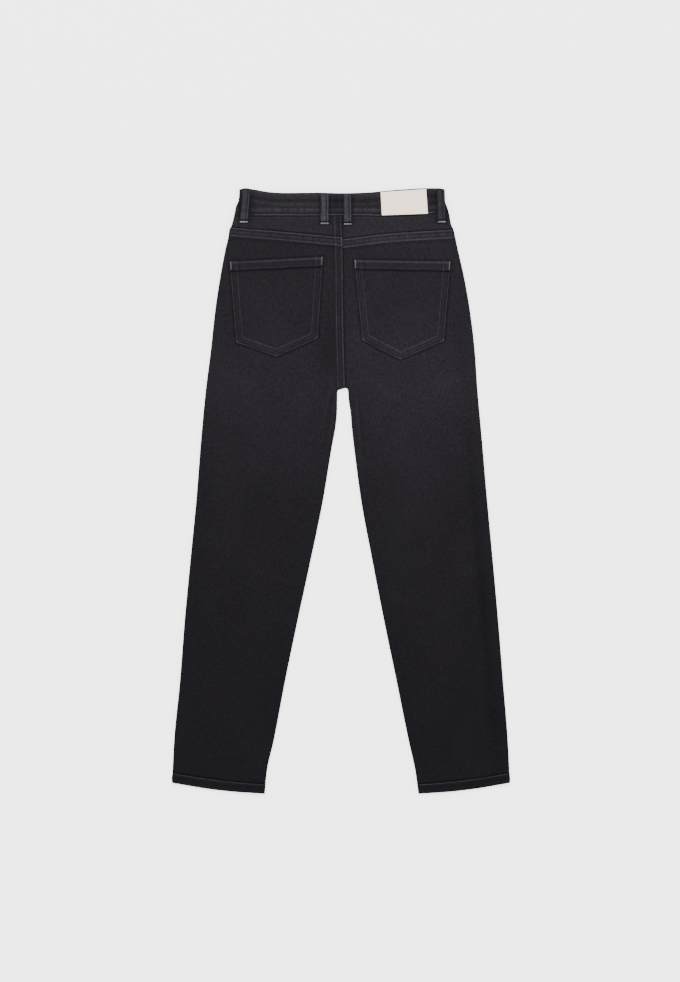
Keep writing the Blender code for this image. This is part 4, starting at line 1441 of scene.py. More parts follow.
@dataclass
class Waistband(ClothPiece):
    """The waistband: one strip all round, lapped at the centre front."""

    near_top: float = 5.0
    near_bottom: float = 41.0
    overlap_end: float = 14.0
    underlap_end: float = -12.0
    underlap_ramp: Pair = (20.0, 36.0)
    underlap_rise: float = 2.5
    front_step: float = 4.0
    back_steps: int = 190
    depth_shares: tuple[float, ...] = (
        0.0, 0.015, 0.03, 0.05, 0.08, 0.12, 0.17, 0.22, 0.28, 0.34, 0.40, 0.46, 0.52,
        0.58, 0.64, 0.70, 0.75, 0.80, 0.845, 0.885, 0.92, 0.945, 0.965, 0.985, 1.0,
    )
    shoulder: float = 0.9
    shoulder_reach: float = 1.6
    # Marks with light below 0 are painted shade along the folded top edge and in the band's dents.
    top_marks: tuple[Mark, ...] = (
        Mark(0, 1, -0.1), Mark(4.4, 1.9, 0.34, -0.2, 0.4, 12, 41),
        Mark(8.4, 1.9, 0.3, -0.2, 0.6, 9, 42), Mark(12.6, 2.4, -0.26, -0.35),
        Mark(19, 2.3, 0.5, 0, 0.4, 22, 43), Mark(23.2, 1.4, -0.22, -0.2),
    )
    bottom_marks: tuple[Mark, ...] = (
        Mark(1.4, 1.1, 0.34, patchy=0.4, wave=15, seed=44), Mark(4.2, 1.2, -0.34, -0.1),
        Mark(6.4, 1.6, 0.2, patchy=0.8, wave=7, seed=46), Mark(10, 2.4, 1.05, -0.35, 0.8, 8.5, 45),
    )

    def seams(self, x: Field, down: Field, back: bool) -> Seams:
        """Return each edge's marks with the distances from it and along it.

        Args:
            x: Places across the garment.
            down: Places along it.
            back: True for the back.

        Returns:
            The marks with their distances.
        """
        form = self.form
        top = form.band_top_down(x) if back else form.front_band_top(x)
        bottom = form.band_bottom_down(x) if back else form.front_band_bottom(x)
        return [(self.top_marks, down - top, x), (self.bottom_marks, bottom - down, x + 70.0)]

    def shoulder_drop(self, below_edge: Field) -> Field:
        """Return how much the folded edge rounds off, at a distance from it."""
        return self.shoulder * np.clip(1.0 - below_edge / self.shoulder_reach, 0.0, 1.0) ** 2

    def height(self, x: Field, down: Field) -> Field:
        """Return the height of the back's outer face with its puckers.

        Args:
            x: Places across the garment.
            down: Places along it.

        Returns:
            The value at each place.
        """
        seams = self.seams(x, down, True)
        total = self.form.band_top(x, down) + summed(Effect.RISE, seams)
        return total - self.shoulder_drop(np.maximum(down - self.form.band_top_down(x), 0.0))

    def front_height(self, x: Field, down: Field, rise: float = 0.0) -> Field:
        """Return the height of the front's outer face, which looks down.

        Args:
            x: Places across the garment.
            down: Places along it.
            rise: Height to add.

        Returns:
            The value at each place.
        """
        drop = self.shoulder_drop(np.maximum(down - self.form.front_band_top(x), 0.0))
        dents = summed(Effect.RISE, self.seams(x, down, False))
        return self.form.lift(x, down) + rise + drop - 0.5 * dents

    def station_front(self, x: float, rise: float = 0.0) -> Points:
        """Return one station across the front, at x, with its height raised by rise.

        Args:
            x: Places across the garment.
            rise: Height to add.

        Returns:
            x, down and z of its points.
        """
        form = self.form
        xs = np.full(len(self.depth_shares), x)
        top = form.front_band_top(xs)
        down = top + (form.front_band_bottom(xs) - top) * np.array(self.depth_shares)
        return xs, down, self.front_height(xs, down, rise)

    def back_x(self, down: Field, across: float) -> Field:
        """Return x at a share of the way across the back.

        Args:
            down: Places along it.
            across: Share of the way across.

        Returns:
            The value at each place.
        """
        left = self.form.outer_edge[Side.LEFT](down) + self.form.edge_turn
        right = self.form.outer_edge[Side.RIGHT](down) - self.form.edge_turn
        return left + (right - left) * across

    def band_down(self, across: float) -> Field:
        """Return the downs of a station at a share of the way across the back.

        Args:
            across: Share of the way across.

        Returns:
            The value at each place.
        """
        top = self.form.band_top_down(self.back_x(self.near_top, across))
        bottom = self.form.band_bottom_down(self.back_x(self.near_bottom, across))
        return top + (bottom - top) * np.array(self.depth_shares)

    def station_back(self, across: float) -> Points:
        """Return one station on the back, at a share of the way across.

        Args:
            across: Share of the way across.

        Returns:
            x, down and z of its points.
        """
        down = self.band_down(across)
        x = self.back_x(down, across)
        return x, down, self.height(x, down)

    def station_side(self, side: Side, angle: float, distance: float | None = None) -> Points:
        """Return one station round a side fold.

        Args:
            side: Which side.
            angle: Angle round the fold, from -90 under it to 90 on its outer face.
            distance: Distance in from the edge, where that isn't the fold's own.

        Returns:
            x, down and z of its points.
        """
        form = self.form
        down = self.band_down(0.0 if side is Side.LEFT else 1.0)
        edge_x = form.outer_edge[side](down)
        turn_x = edge_x + side.inward * form.edge_turn
        low = self.front_height(turn_x, down)
        half_height = (self.height(turn_x, down) - low) / 2.0
        inset = form.edge_turn * (1.0 - math.cos(angle)) if distance is None else distance
        return edge_x + side.inward * inset, down, low + half_height * (1.0 + math.sin(angle))

    def mesh(self) -> ClothMesh:
        """Return the band's outer face, from its left front end round to its right one.

        Returns:
            The mesh.
        """
        form = self.form
        folds = [float(angle) for angle in RIM_ANGLES]
        side_x = {side: float(form.outer_edge[side](self.near_bottom)) for side in Side}
        left_end = side_x[Side.LEFT] + 2.0 * form.wrap
        xs = np.linspace(self.overlap_end, left_end, round((self.overlap_end - left_end) / self.front_step))
        stations = [self.station_front(float(x)) for x in xs]
        stations.append(self.station_side(Side.LEFT, folds[0], form.wrap + form.gap))
        stations += [self.station_side(Side.LEFT, angle) for angle in folds]
        stations += [self.station_back(k / self.back_steps) for k in range(1, self.back_steps)]
        stations += [self.station_side(Side.RIGHT, angle) for angle in reversed(folds)]
        stations.append(self.station_side(Side.RIGHT, folds[0], form.wrap + form.gap))
        right_end = side_x[Side.RIGHT] - 2.0 * form.wrap
        count = round((right_end - self.underlap_end) / self.front_step)
        xs = np.linspace(right_end, self.underlap_end, count)
        for x in xs:
            rise = self.underlap_rise * (1.0 - float(smooth_step(*self.underlap_ramp, x)))
            stations.append(self.station_front(float(x), rise))
        grid = [values.T for values in grid_of(stations)]
        light = summed(Effect.LIGHT, self.seams(grid[0], grid[1], True))
        on_back = grid[2] > self.form.lift(grid[0], grid[1]) + 2.7
        light = np.where(on_back, light, 0.0)
        cloth = ClothMesh(flip=False)
        cloth.join(cloth.add(*grid, self.washed(grid[0], grid[1], light), 0))
        return cloth


@dataclass
class FrontPanel(ClothPiece):
    """A front panel, flat on the floor, with the scooped pocket opening cut out."""

    side: Side = Side.LEFT
    columns: int = 34
    scoop_width: float = 88.0
    scoop_top: float = 53.0
    scoop_depth: float = 70.0
    scoop_rows: Table = (
        (0.0, 63.0), (18.0, 76.0), (36.0, 88.0), (52.0, 100.0), (67.0, 112.0), (78.0, 124.0), (82.5, 134.0),
    )
    troughs: tuple[Crease, ...] = (
        Crease((-60, 150), (-190, 250), 0.7, 8, 6), Crease((64, 150), (186, 236), 0.6, 9, -5),
        Crease((-20, 300), (-150, 372), 0.7, 9, 4), Crease((26, 296), (140, 352), 0.6, 8, -6),
        Crease((-90, 560), (-225, 596), 0.6, 8, 3), Crease((96, 572), (226, 604), 0.7, 9, -3),
        Crease((-110, 640), (-236, 622), 0.5, 7, 3), Crease((112, 644), (238, 632), 0.5, 8, 2),
    )

    def height(self, x: Field, down: Field) -> Field:
        """Return the height of the outer face, which looks down.

        Args:
            x: Places across the garment.
            down: Places along it.

        Returns:
            The value at each place.
        """
        total = sum((crease.height(x, down) for crease in self.troughs), np.zeros(np.shape(x)))
        inside = smooth_step(6.0, 30.0, self.form.edge_distance(x, down))
        return self.form.lift(x, down) + total * inside

    def flat_row(self, start: Pair, end: Pair, bow: float = 0.0) -> tuple[Field, Field]:
        """Return x and down of points between two ends, hanging down by bow in the middle.

        Args:
            start: x and down of one end.
            end: x and down of the other.
            bow: How far the middle hangs down.

        Returns:
            x and down of each point.
        """
        share = np.linspace(0.0, 1.0, self.columns)
        sag = 4.0 * bow * share * (1.0 - share)
        return start[0] + (end[0] - start[0]) * share, start[1] + (end[1] - start[1]) * share + sag

    def scoop(self) -> list[tuple[Field, Field]]:
        """Return the rows beside the pocket opening.

        Returns:
            x and down of each row.
        """
        form = self.form
        rows = []
        for degrees, centre_down in filled(self.scoop_rows, 5.0):
            turned = math.radians(degrees)
            down = self.scoop_top + self.scoop_depth * math.sin(turned)
            edge = float(form.outer_edge[self.side](down))
            start = (edge + self.side.inward * self.scoop_width * math.cos(turned), down)
            x, straight = self.flat_row(start, form.seam_point(self.side, centre_down))
            curved = max(1.0 - degrees / 18.0, 0.0)
            share = np.linspace(0.0, 1.0, self.columns)
            chord = self.scoop_top + (self.scoop_rows[0][1] - self.scoop_top) * share
            rows.append((x, straight + curved * (form.front_band_bottom(x) + form.gap - chord)))
        return rows

    def mesh(self) -> ClothMesh:
        """Return the panel's outer face.

        Returns:
            The mesh.
        """
        form = self.form
        clear = form.wrap + form.gap
        lines = PanelLines(form, self.side, 5.0, 5.0)
        rows = self.scoop()
        first, last = self.scoop_rows[-1][1] - 5.0, form.notch_down - clear - 1.0
        for line in [line for line in lines.seat() if line.outer[1] > first and line.inner[1] < last]:
            x, down = line.at(clear)
            rows.append(self.flat_row((float(x), float(down)), line.inner))
        for line in lines.notch() + lines.leg():
            start, end = line.at(clear), line.from_inner(clear)
            ends = [(float(point[0]), float(point[1])) for point in (start, end)]
            rows.append(self.flat_row(*ends, line.bow))
        x, down = grid_of(rows)
        cloth = ClothMesh(flip=self.side is Side.LEFT)
        cloth.join(cloth.add(x, down, self.height(x, down), self.washed(x, down)))
        return cloth


@dataclass
class PocketFacing(ClothPiece):
    """The facing seen in a scooped pocket opening, one layer inside the front panel."""

    side: Side = Side.LEFT
    underlap: float = 8.0
    inset: float = 10.0
    last_angle: float = 79.0
    lines: int = 22
    columns: int = 22
    scoop_width: float = 88.0
    scoop_top: float = 53.0
    scoop_depth: float = 70.0

    def mesh(self) -> ClothMesh:
        """Return the facing's outer face.

        Returns:
            The mesh.
        """
        form = self.form
        rows = []
        for share in np.linspace(0.0, 1.0, self.lines):
            turned = math.radians(self.last_angle * share)
            end_down = self.scoop_top + (self.scoop_depth + self.underlap) * math.sin(turned)
            edge = float(form.outer_edge[self.side](end_down))
            end_x = edge + self.side.inward * (self.scoop_width + self.underlap) * math.cos(turned)
            start_x = edge + self.side.inward * self.inset
            x = np.linspace(start_x, end_x, self.columns)
            blend = max(1.0 - share * 7.0, 0.0)
            down = end_down + blend * (form.front_band_bottom(x) + 2.0 * form.gap - end_down)
            rows.append((x, down))
        x, down = grid_of(rows)
        cloth = ClothMesh(flip=self.side is Side.LEFT)
        z = form.lift(x, down) + form.cloth + form.gap
        cloth.join(cloth.add(x, down, z, self.washed(x, down)))
        return cloth


@dataclass
class HemTurnUp(ClothPiece):
    """A hem turn-up: a ring round the flattened leg end."""

    side: Side = Side.LEFT
    top_downs: Pair = (946.8, 965.4)
    bottom_downs: Pair = (963.4, 981.2)
    bow: float = 2.6
    bulge: float = 0.8
    lap: float = 0.15
    shoulder: float = 0.8
    shoulder_reach: float = 1.8
    shares: tuple[float, ...] = (
        0.0, 0.04, 0.09, 0.15, 0.22, 0.31, 0.4, 0.52, 0.64, 0.75, 0.84, 0.9, 0.95, 1.0,
    )
    near: Table = (OUTER_COLUMNS, OUTER_COLUMNS)
    middle: int = 46
    # Marks with light below 0 are painted shade in the turn-up's dents.
    marks: tuple[Mark, ...] = (
        Mark(0.2, 1.1, 0.34, patchy=0.6, wave=10, seed=51), Mark(4.6, 2.4, 0.16, -0.35, 1, 9, 52),
        Mark(8.4, 1.6, -0.1, -0.1), Mark(11.4, 1.4, -0.12, -0.2, 1, 12, 53),
        Mark(15, 1.3, 0.75, patchy=0.35, wave=22, seed=54),
    )

    def height_at(self, x: Field, down: Field, share: float) -> Field:
        """Return the height of the outer face on the back, at a share of the turn-up's depth.

        Args:
            x: Places across the garment.
            down: Places along it.
            share: Share of the way along.

        Returns:
            The value at each place.
        """
        above = (1.0 - share) * (self.bottom_downs[0] - self.top_downs[0])
        rise = marked(Effect.RISE, self.marks, np.full(np.shape(x), above), x + 9.0 * self.side.inward)
        shoulder = self.shoulder * max(1.0 - above / self.shoulder_reach, 0.0) ** 2
        return self.form.hem_top(x, down) + rise - shoulder

    def line(self, share: float) -> Line:
        """Return the line across the turn-up at a share of its depth.

        Args:
            share: Share of the way along.

        Returns:
            The line.
        """
        form = self.form
        first = -self.lap if share == 0.0 else 0.0
        downs = [a + first + (b - a) * share for a, b in zip(self.top_downs, self.bottom_downs)]
        bulge = self.bulge * math.sin(math.pi * share)
        outer = (float(form.outer_edge[self.side](downs[0])) - self.side.inward * bulge, downs[0])
        inner = (float(form.inner_edge[self.side](downs[1])), downs[1])
        return Line(outer, inner, self.bow)

    def upper_edge(self) -> "Outline":
        """Return the path of the turn-up's upper edge.

        Returns:
            The path.
        """
        line = self.line(0.0)
        width = math.hypot(line.inner[0] - line.outer[0], line.inner[1] - line.outer[1])
        return Outline(np.stack(line.at(np.linspace(0.0, width, 13)), axis=1))

    def mesh(self) -> ClothMesh:
        """Return the ring's outer face.

        Returns:
            The mesh.
        """
        form = self.form
        rows, fades = [], []
        for share in self.shares:
            line = self.line(share)

            def top(x: Field, down: Field) -> Field:
                """Return the height at this row."""
                return self.height_at(x, down, share)

            flat = line.across(form.edge_turn, form.edge_turn, self.near, self.middle)
            left = folded_edge(form, line.at, top, form.wrap)
            right = folded_edge(form, line.from_inner, top, form.wrap)
            under = line.across(form.wrap, form.wrap, ((), ()), 34)
            under_z = np.full(len(under[0]) - 2, 0.25 * max(share - 0.9, 0.0))
            ring = []
            for k in range(3):
                outer = flat[k] if k < 2 else top(*flat)
                below = under[k][1:-1][::-1] if k < 2 else under_z
                ring.append(np.concatenate((left[k][:-1], outer, right[k][::-1][1:], below)))
            rows.append(ring)
            above = (1.0 - share) * (self.bottom_downs[0] - self.top_downs[0])
            along = ring[0] + 9.0 * self.side.inward
            light = marked(Effect.LIGHT, self.marks, np.full(len(ring[0]), above), along)
            fades.append(self.washed(ring[0], ring[1], light))
        grid = grid_of(rows)
        cloth = ClothMesh(flip=self.side is Side.RIGHT)
        numbers = cloth.add(*grid, np.array(fades), RIM_COLUMNS)
        cloth.join(np.concatenate((numbers, numbers[:, :1]), axis=1))
        return cloth


@dataclass
class Outline:
    """A path on the garment, measured along its length."""

    points: Field

    def __post_init__(self) -> None:
        """Measure the path."""
        self.points = np.array(self.points, float)
        steps = np.linalg.norm(np.diff(self.points, axis=0), axis=1)
        self.arc = np.concatenate(([0.0], np.cumsum(steps)))

    def beside(self, x: Field, down: Field) -> tuple[Field, Field]:
        """Return the distance to the path and the place along it, for each point.

        Args:
            x: Places across the garment.
            down: Places along it.

        Returns:
            x and down of each point.
        """
        best = np.full(np.shape(x), 1e9)
        along = np.zeros(np.shape(x))
        for start, end, arc in zip(self.points, self.points[1:], self.arc):
            run = end - start
            length = float(np.hypot(*run))
            share = ((x - start[0]) * run[0] + (down - start[1]) * run[1]) / length ** 2
            share = np.clip(share, 0.0, 1.0)
            distance = np.hypot(x - start[0] - run[0] * share, down - start[1] - run[1] * share)
            nearer = distance < best
            best = np.where(nearer, distance, best)
            along = np.where(nearer, arc + share * length, along)
        return best, along

    def inset(self, distance: float) -> "Outline":
        """Return the path moved to its left by a distance, with its corners kept.

        Args:
            distance: Distances in from the edge.

        Returns:
            The path.
        """
        run = np.diff(self.points, axis=0)
        normal = np.stack((run[:, 1], -run[:, 0]), axis=1) / np.linalg.norm(run, axis=1)[:, None]
        before = np.concatenate((normal[:1], normal))
        after = np.concatenate((normal, normal[-1:]))
        middle = before + after
        middle = middle / np.linalg.norm(middle, axis=1)[:, None]
        stretch = distance / np.sum(middle * before, axis=1)
        return Outline(self.points + middle * stretch[:, None])

    def sampled(self, step: float) -> Field:
        """Return points along the path, at most a step apart, with its corners kept.

        Args:
            step: The largest step.

        Returns:
            The value at each place.
        """
        result = [self.points[:1]]
        for start, end in zip(self.points, self.points[1:]):
            count = max(1, math.ceil(float(np.hypot(*(end - start))) / step))
            share = np.linspace(0.0, 1.0, count + 1)[1:, None]
            result.append(start + (end - start) * share)
        return np.concatenate(result)


@dataclass
class BackPocket(ClothPiece):
    """A patch pocket: five corners, with a folded hem along its top."""

    side: Side = Side.LEFT
    top_left: Pair = (-180.5, 119.4)
    top_right: Pair = (-28.7, 111.5)
    bottom_right: Pair = (-37.4, 243.9)
    tip: Pair = (-104.3, 273.8)
    bottom_left: Pair = (-169.6, 250.7)
    hem_rise: float = 0.5
    hem_depth: float = 15.3
    columns: int = 72
    rows: int = 66
    # Marks with light below 0 are painted shade: in the dents between the rows and below the edge of the
    # folded top hem.
    side_marks: tuple[Mark, ...] = (
        Mark(0.8, 0.9, 0.24, patchy=0.4, wave=18, seed=61), Mark(3.2, 1.2, -0.12, -0.12),
        Mark(5.6, 1.4, 0.1, 0.08, 1, 9, 66), Mark(10.6, 2.2, 0.12, 0.2, 1, 8.5, 62),
        Mark(14.6, 1.6, -0.1, patchy=1, wave=8.5, seed=63),
    )
    low_marks: tuple[Mark, ...] = (
        Mark(1.1, 1, 0.28, patchy=0.4, wave=14, seed=67), Mark(3.6, 1.2, -0.22, -0.12),
        Mark(6.5, 1.3, 0.36, 0.08, 0.6, 9, 68), Mark(9.2, 1.2, -0.18, -0.05),
        Mark(11.8, 1.4, 0.75, 0.18, 0.6, 8.5, 69), Mark(15.2, 1.5, -0.1),
    )
    hem_marks: tuple[Mark, ...] = (
        Mark(2.4, 1.4, 1.6, patchy=0.35, wave=12, seed=64), Mark(5.9, 1.2, -0.1, -0.1),
        Mark(9.2, 2.4, 0.16, 0.2, 1, 9, 65), Mark(16.1, 1.5, -0.75, -0.1),
    )

    def __post_init__(self) -> None:
        """Make the pocket's sewn outline, from its top left corner round to its top right one."""
        corners = (self.top_left, self.bottom_left, self.tip, self.bottom_right, self.top_right)
        self.outline = Outline(np.array(corners))
        self.border = Outline(np.array((*corners, self.top_left)))
        self.top_line = Outline(np.array((self.top_left, self.top_right)))

    def seams(self, x: Field, down: Field) -> Seams:
        """Return each edge's marks with the distances from it and along it.

        Args:
            x: Places across the garment.
            down: Places along it.

        Returns:
            The marks with their distances.
        """
        beside, along = self.outline.beside(x, down)
        low = (along > self.outline.arc[1]) & (along < self.outline.arc[3])
        return [
            (self.side_marks, np.where(low, FAR, beside), along),
            (self.low_marks, np.where(low, beside, FAR), along),
            (self.hem_marks, *self.top_line.beside(x, down)),
        ]

    def light(self, x: Field, down: Field) -> Field:
        """Return the brightness that the seams and the rubbed corners add.

        Args:
            x: Places across the garment.
            down: Places along it.

        Returns:
            The value at each place.
        """
        total = summed(Effect.LIGHT, self.seams(x, down))
        rubbed = ((self.bottom_left, 1.0), (self.bottom_right, 1.1), (self.tip, 0.6),
                  (self.top_left, 0.6), (self.top_right, 0.6))
        for corner, strength in rubbed:
            distance = np.hypot(x - corner[0], down - corner[1])
            total = total + strength * bell(distance, 1.5, 3.0)
        return total

    def height(self, x: Field, down: Field) -> Field:
        """Return the height of the outer face with its puckers.

        Args:
            x: Places across the garment.
            down: Places along it.

        Returns:
            The value at each place.
        """
        form = self.form
        base = form.base(x, down) + form.fell(down - form.yoke_down[self.side](x)) + form.creased(x, down)
        if self.side is Side.LEFT:
            base = base + form.fell(form.centre_x(down) - x)
        below_top, _ = self.top_line.beside(x, down)
        hem = self.hem_rise * (1.0 - smooth_step(self.hem_depth - 1.0, self.hem_depth + 2.0, below_top))
        base = base + form.gap + self.wall + hem
        return base + summed(Effect.RISE, self.seams(x, down))

    def mesh(self) -> ClothMesh:
        """Return the pocket's outer face.

        Returns:
            The mesh.
        """
        ramp = np.linspace(-1.0, 1.0, self.columns + 1)
        across = 0.5 + 0.5 * np.sin(ramp * 1.2) / math.sin(1.2)
        share = np.linspace(0.0, 1.0, self.rows + 1)[:, None]
        top_left, top_right = np.array(self.top_left), np.array(self.top_right)
        left, tip, right = np.array(self.bottom_left), np.array(self.tip), np.array(self.bottom_right)
        grid = []
        for k in range(2):
            top = top_left[k] + (top_right[k] - top_left[k]) * across
            before = left[k] + (tip[k] - left[k]) * across * 2.0
            after = tip[k] + (right[k] - tip[k]) * (across * 2.0 - 1.0)
            low = np.where(across < 0.5, before, after)
            grid.append(top + (low - top) * share)
        x, down = grid
        cloth = ClothMesh()
        fade = self.washed(x, down, self.light(x, down))
        cloth.join(cloth.add(x, down, self.height(x, down), fade))
        return cloth


@dataclass
class BeltLoop(ClothPiece):
    """A belt loop: a folded strip over the waistband, tacked at its lower end."""

    face: Face = Face.UP
    top_x: float = 0.0
    bottom_x: float = 0.0
    width: float = 12.8
    top_down: float = 3.0
    bottom_down: float = 57.0
    arch: float = 1.6
    tone: float = 1.0
    steps: int = 44
    columns: int = 20
    ridge: float = 0.35
    channel: float = 0.30
    channel_width: float = 0.055
    # Painted light and shade across the strip and along it: the place, half width and light of each line.
    wear_across: Table = ((-0.14, 0.2, 0.3), (0.22, 0.07, -0.55), (0.36, 0.06, 0.45))
    wear_along: Table = ((0.8, 0.1, 0.35), (0.92, 0.032, -1.1))

    def clear_x(self, x: Field) -> Field:
        """Return x kept inside the waistband's side folds.

        Args:
            x: Places across the garment.

        Returns:
            The value at each place.
        """
        left = float(self.form.outer_edge[Side.LEFT](5.0)) + self.form.edge_turn
        right = float(self.form.outer_edge[Side.RIGHT](5.0)) - self.form.edge_turn
        return np.clip(x, left, right)

    def relief(self, across: Field) -> Field:
        """Return the strip's own thickness over its width: two sewn channels and soft edges."""
        channels = sum(bell(across, place, self.channel_width) for place in (-self.channel, self.channel))
        return -self.ridge * channels - 0.45 * np.clip(np.abs(across) * 2.0 - 0.82, 0.0, 1.0) ** 1.5 * 4.0

    def middle(self, share: Field) -> tuple[Field, Field]:
        """Return x and down of the strip's middle at a share of its length."""
        x = self.top_x + (self.bottom_x - self.top_x) * share
        return x, self.top_down + (self.bottom_down - self.top_down) * share

    def height_at(self, across: Field, share: Field) -> Field:
        """Return the height of the outer face at shares across and along the strip.

        Args:
            across: Share of the way across.
            share: Share of the way along.

        Returns:
            The value at each place.
        """
        form = self.form
        if self.face is Face.DOWN:
            drop = form.gap + self.wall + self.arch * np.sin(np.pi * share)
            return form.waist_lift - drop - self.relief(across)
        side = Side.LEFT if self.top_x < 0.0 else Side.RIGHT
        high = np.full(np.shape(across), self.top_down)
        start = form.band_top(self.clear_x(self.top_x + across * self.width), high)
        low = np.full(np.shape(across), self.bottom_down)
        end = form.yoke_top(side, self.clear_x(self.bottom_x + across * self.width), low)
        z = start + (end - start) * share + self.arch * np.sin(np.pi * share)
        return z + form.gap + self.wall + self.relief(across)

    def mesh(self) -> ClothMesh:
        """Return the strip's outer face.

        Returns:
            The mesh.
        """
        across, share = unit_grid(self.columns, self.steps, -0.5)
        x, down = self.middle(share)
        x = x + across * self.width
        z = self.height_at(across, share)
        # Painted light and shade: darker along the turned long edges, a paler strip, a shaded channel line
        # and a highlighted line near one edge, then a highlight and a dark band of shade just above the bar
        # tack.
        worn = -0.5 * smooth_step(0.4, 0.5, np.abs(across))
        for place, rows in ((across, self.wear_across), (share, self.wear_along)):
            worn = worn + sum(light * bell(place, middle, half) for middle, half, light in rows)
        cloth = ClothMesh(flip=self.face is Face.DOWN)
        cloth.join(cloth.add(x, down, z, np.maximum((1.0 + worn) * self.tone, 0.15)))
        return cloth


@dataclass
class WaistPatch(ClothPiece):
    """The bare pale patch on the waistband."""

    top_left: Pair = (64.4, 7.2)
    top_right: Pair = (137.8, 2.2)
    bottom_left: Pair = (66.4, 44.5)
    bottom_right: Pair = (140.6, 41.9)
    width: float = 74.0
    depth: float = 37.0
    pressed: float = 0.15
    columns: int = 50
    rows: int = 26

    def place(self, across: Field, share: Field) -> tuple[Field, Field]:
        """Return x and down at shares across and along the patch.

        Args:
            across: Share of the way across.
            share: Share of the way along.

        Returns:
            x and down of each point.
        """
        corners = [np.array(c) for c in (self.top_left, self.top_right, self.bottom_left, self.bottom_right)]
        result = []
        for k in range(2):
            start = corners[0][k] + (corners[2][k] - corners[0][k]) * share
            end = corners[1][k] + (corners[3][k] - corners[1][k]) * share
            result.append(start + (end - start) * across)
        return result[0], result[1]

    def height(self, x: Field, down: Field) -> Field:
        """Return the height of the outer face."""
        return self.form.band_top(x, down) + self.form.gap + self.wall

    def mesh(self) -> ClothMesh:
        """Return the patch's outer face, pressed down a little along its sewn border.

        Returns:
            The mesh.
        """
        across, share = unit_grid(self.columns, self.rows)
        x, down = self.place(across, share)
        from_side = np.minimum(across, 1.0 - across) * self.width
        border = np.minimum(from_side, np.minimum(share, 1.0 - share) * self.depth)
        z = self.height(x, down) - self.pressed * bell(border, 2.0, 0.8)
        # A painted highlight along the patch's very edge and painted shade in the pressed line inside it.
        fade = 1.0 + 0.06 * bell(border, 0.0, 1.2) - 0.05 * bell(border, 2.2, 1.0)
        cloth = ClothMesh()
        cloth.join(cloth.add(x, down, z, fade))
        return cloth


@dataclass
class WaistButton:
    """The button at the centre front, turned from a profile of radius and height."""

    form: GarmentForm
    look: Look = Look.METAL
    x: float = 2.0
    down: float = 44.0
    sides: int = 64
    profile: Table = (
        (0.0, 0.35), (3.6, 0.35), (4.4, 0.3), (4.9, 0.02), (6.0, 0.0), (6.6, 0.1), (7.4, 0.25),
        (8.1, 0.6), (8.5, 1.1), (8.45, 1.4), (8.2, 1.7), (6.4, 1.85), (4.0, 1.9), (3.5, 2.1),
        (3.4, 3.1), (0.0, 3.1),
    )

    def make(self) -> bpy.types.Object:
        """Returns:
            The finished object.
        """
        points, faces, rings = [], [], []
        for radius, height in self.profile:
            first = len(points)
            count = 1 if radius == 0.0 else self.sides
            for k in range(count):
                angle = 2.0 * math.pi * k / self.sides
                x = self.x + radius * math.cos(angle)
                y = self.form.half_length - self.down + radius * math.sin(angle)
                points.append((x * MM, y * MM, height * MM))
            rings.append(list(range(first, first + count)))
        for lower, upper in zip(rings, rings[1:]):
            for k in range(self.sides):
                after = (k + 1) % self.sides
                if len(lower) == 1:
                    faces.append((lower[0], upper[after], upper[k]))
                elif len(upper) == 1:
                    faces.append((lower[k], lower[after], upper[0]))
                else:
                    faces.append((lower[k], lower[after], upper[after], upper[k]))
        mesh = bpy.data.meshes.new("waist_button_turned")
        mesh.from_pydata(points, [], faces)
        mesh.shade_smooth()
        mesh.set_sharp_from_angle(angle=math.radians(40.0))
        mesh.materials.append(material_of(self.look))
        piece = placed("waist_button_turned", mesh)
        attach(piece, BODY)
        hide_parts("waist_button")
        log.info("%s: %d points", piece.name, len(points))
        return piece


@dataclass(frozen=True)
class StitchSize:
    """The size and spacing of one kind of stitch."""

    pitch: float
    length: float
    width: float = 0.6
    height: float = 0.42
    turn: float = 0.0


class StitchKind(Enum):
    """The kinds of stitches on the garment."""

    SEAM = StitchSize(3.0, 2.5, 0.62, 0.45)
    FINE = StitchSize(2.4, 1.9, 0.5, 0.36)
    TACK = StitchSize(0.55, 2.6, 0.5, 0.5, 84.0)


@dataclass
class SewnRow:
    """One row of stitches."""

    path: Field
    height: Height
    face: Face = Face.UP

    @classmethod
    def along(cls, x: Field, down: Field, height: Height, face: Face = Face.UP) -> "SewnRow":
        """Return the row through the given places."""
        return cls(np.stack((x, down), axis=1), height, face)

    def surface(self, form: GarmentForm) -> tuple[Field, Field]:
        """Return the row's points and the cloth's normals.

        Args:
            form: The garment's form.

        Returns:
            The points in metres, and the normals.
        """
        x, down = self.path[:, 0], self.path[:, 1]
        z = self.height(x, down)
        step = 0.4
        slope_x = (self.height(x + step, down) - self.height(x - step, down)) / (2.0 * step)
        slope_down = (self.height(x, down + step) - self.height(x, down - step)) / (2.0 * step)
        normal = np.stack((-slope_x, slope_down, np.ones(len(x))), axis=1) * self.face.value
        normal = normal / np.linalg.norm(normal, axis=1)[:, None]
        return np.stack((x, form.half_length - down, z), axis=1) * MM, normal


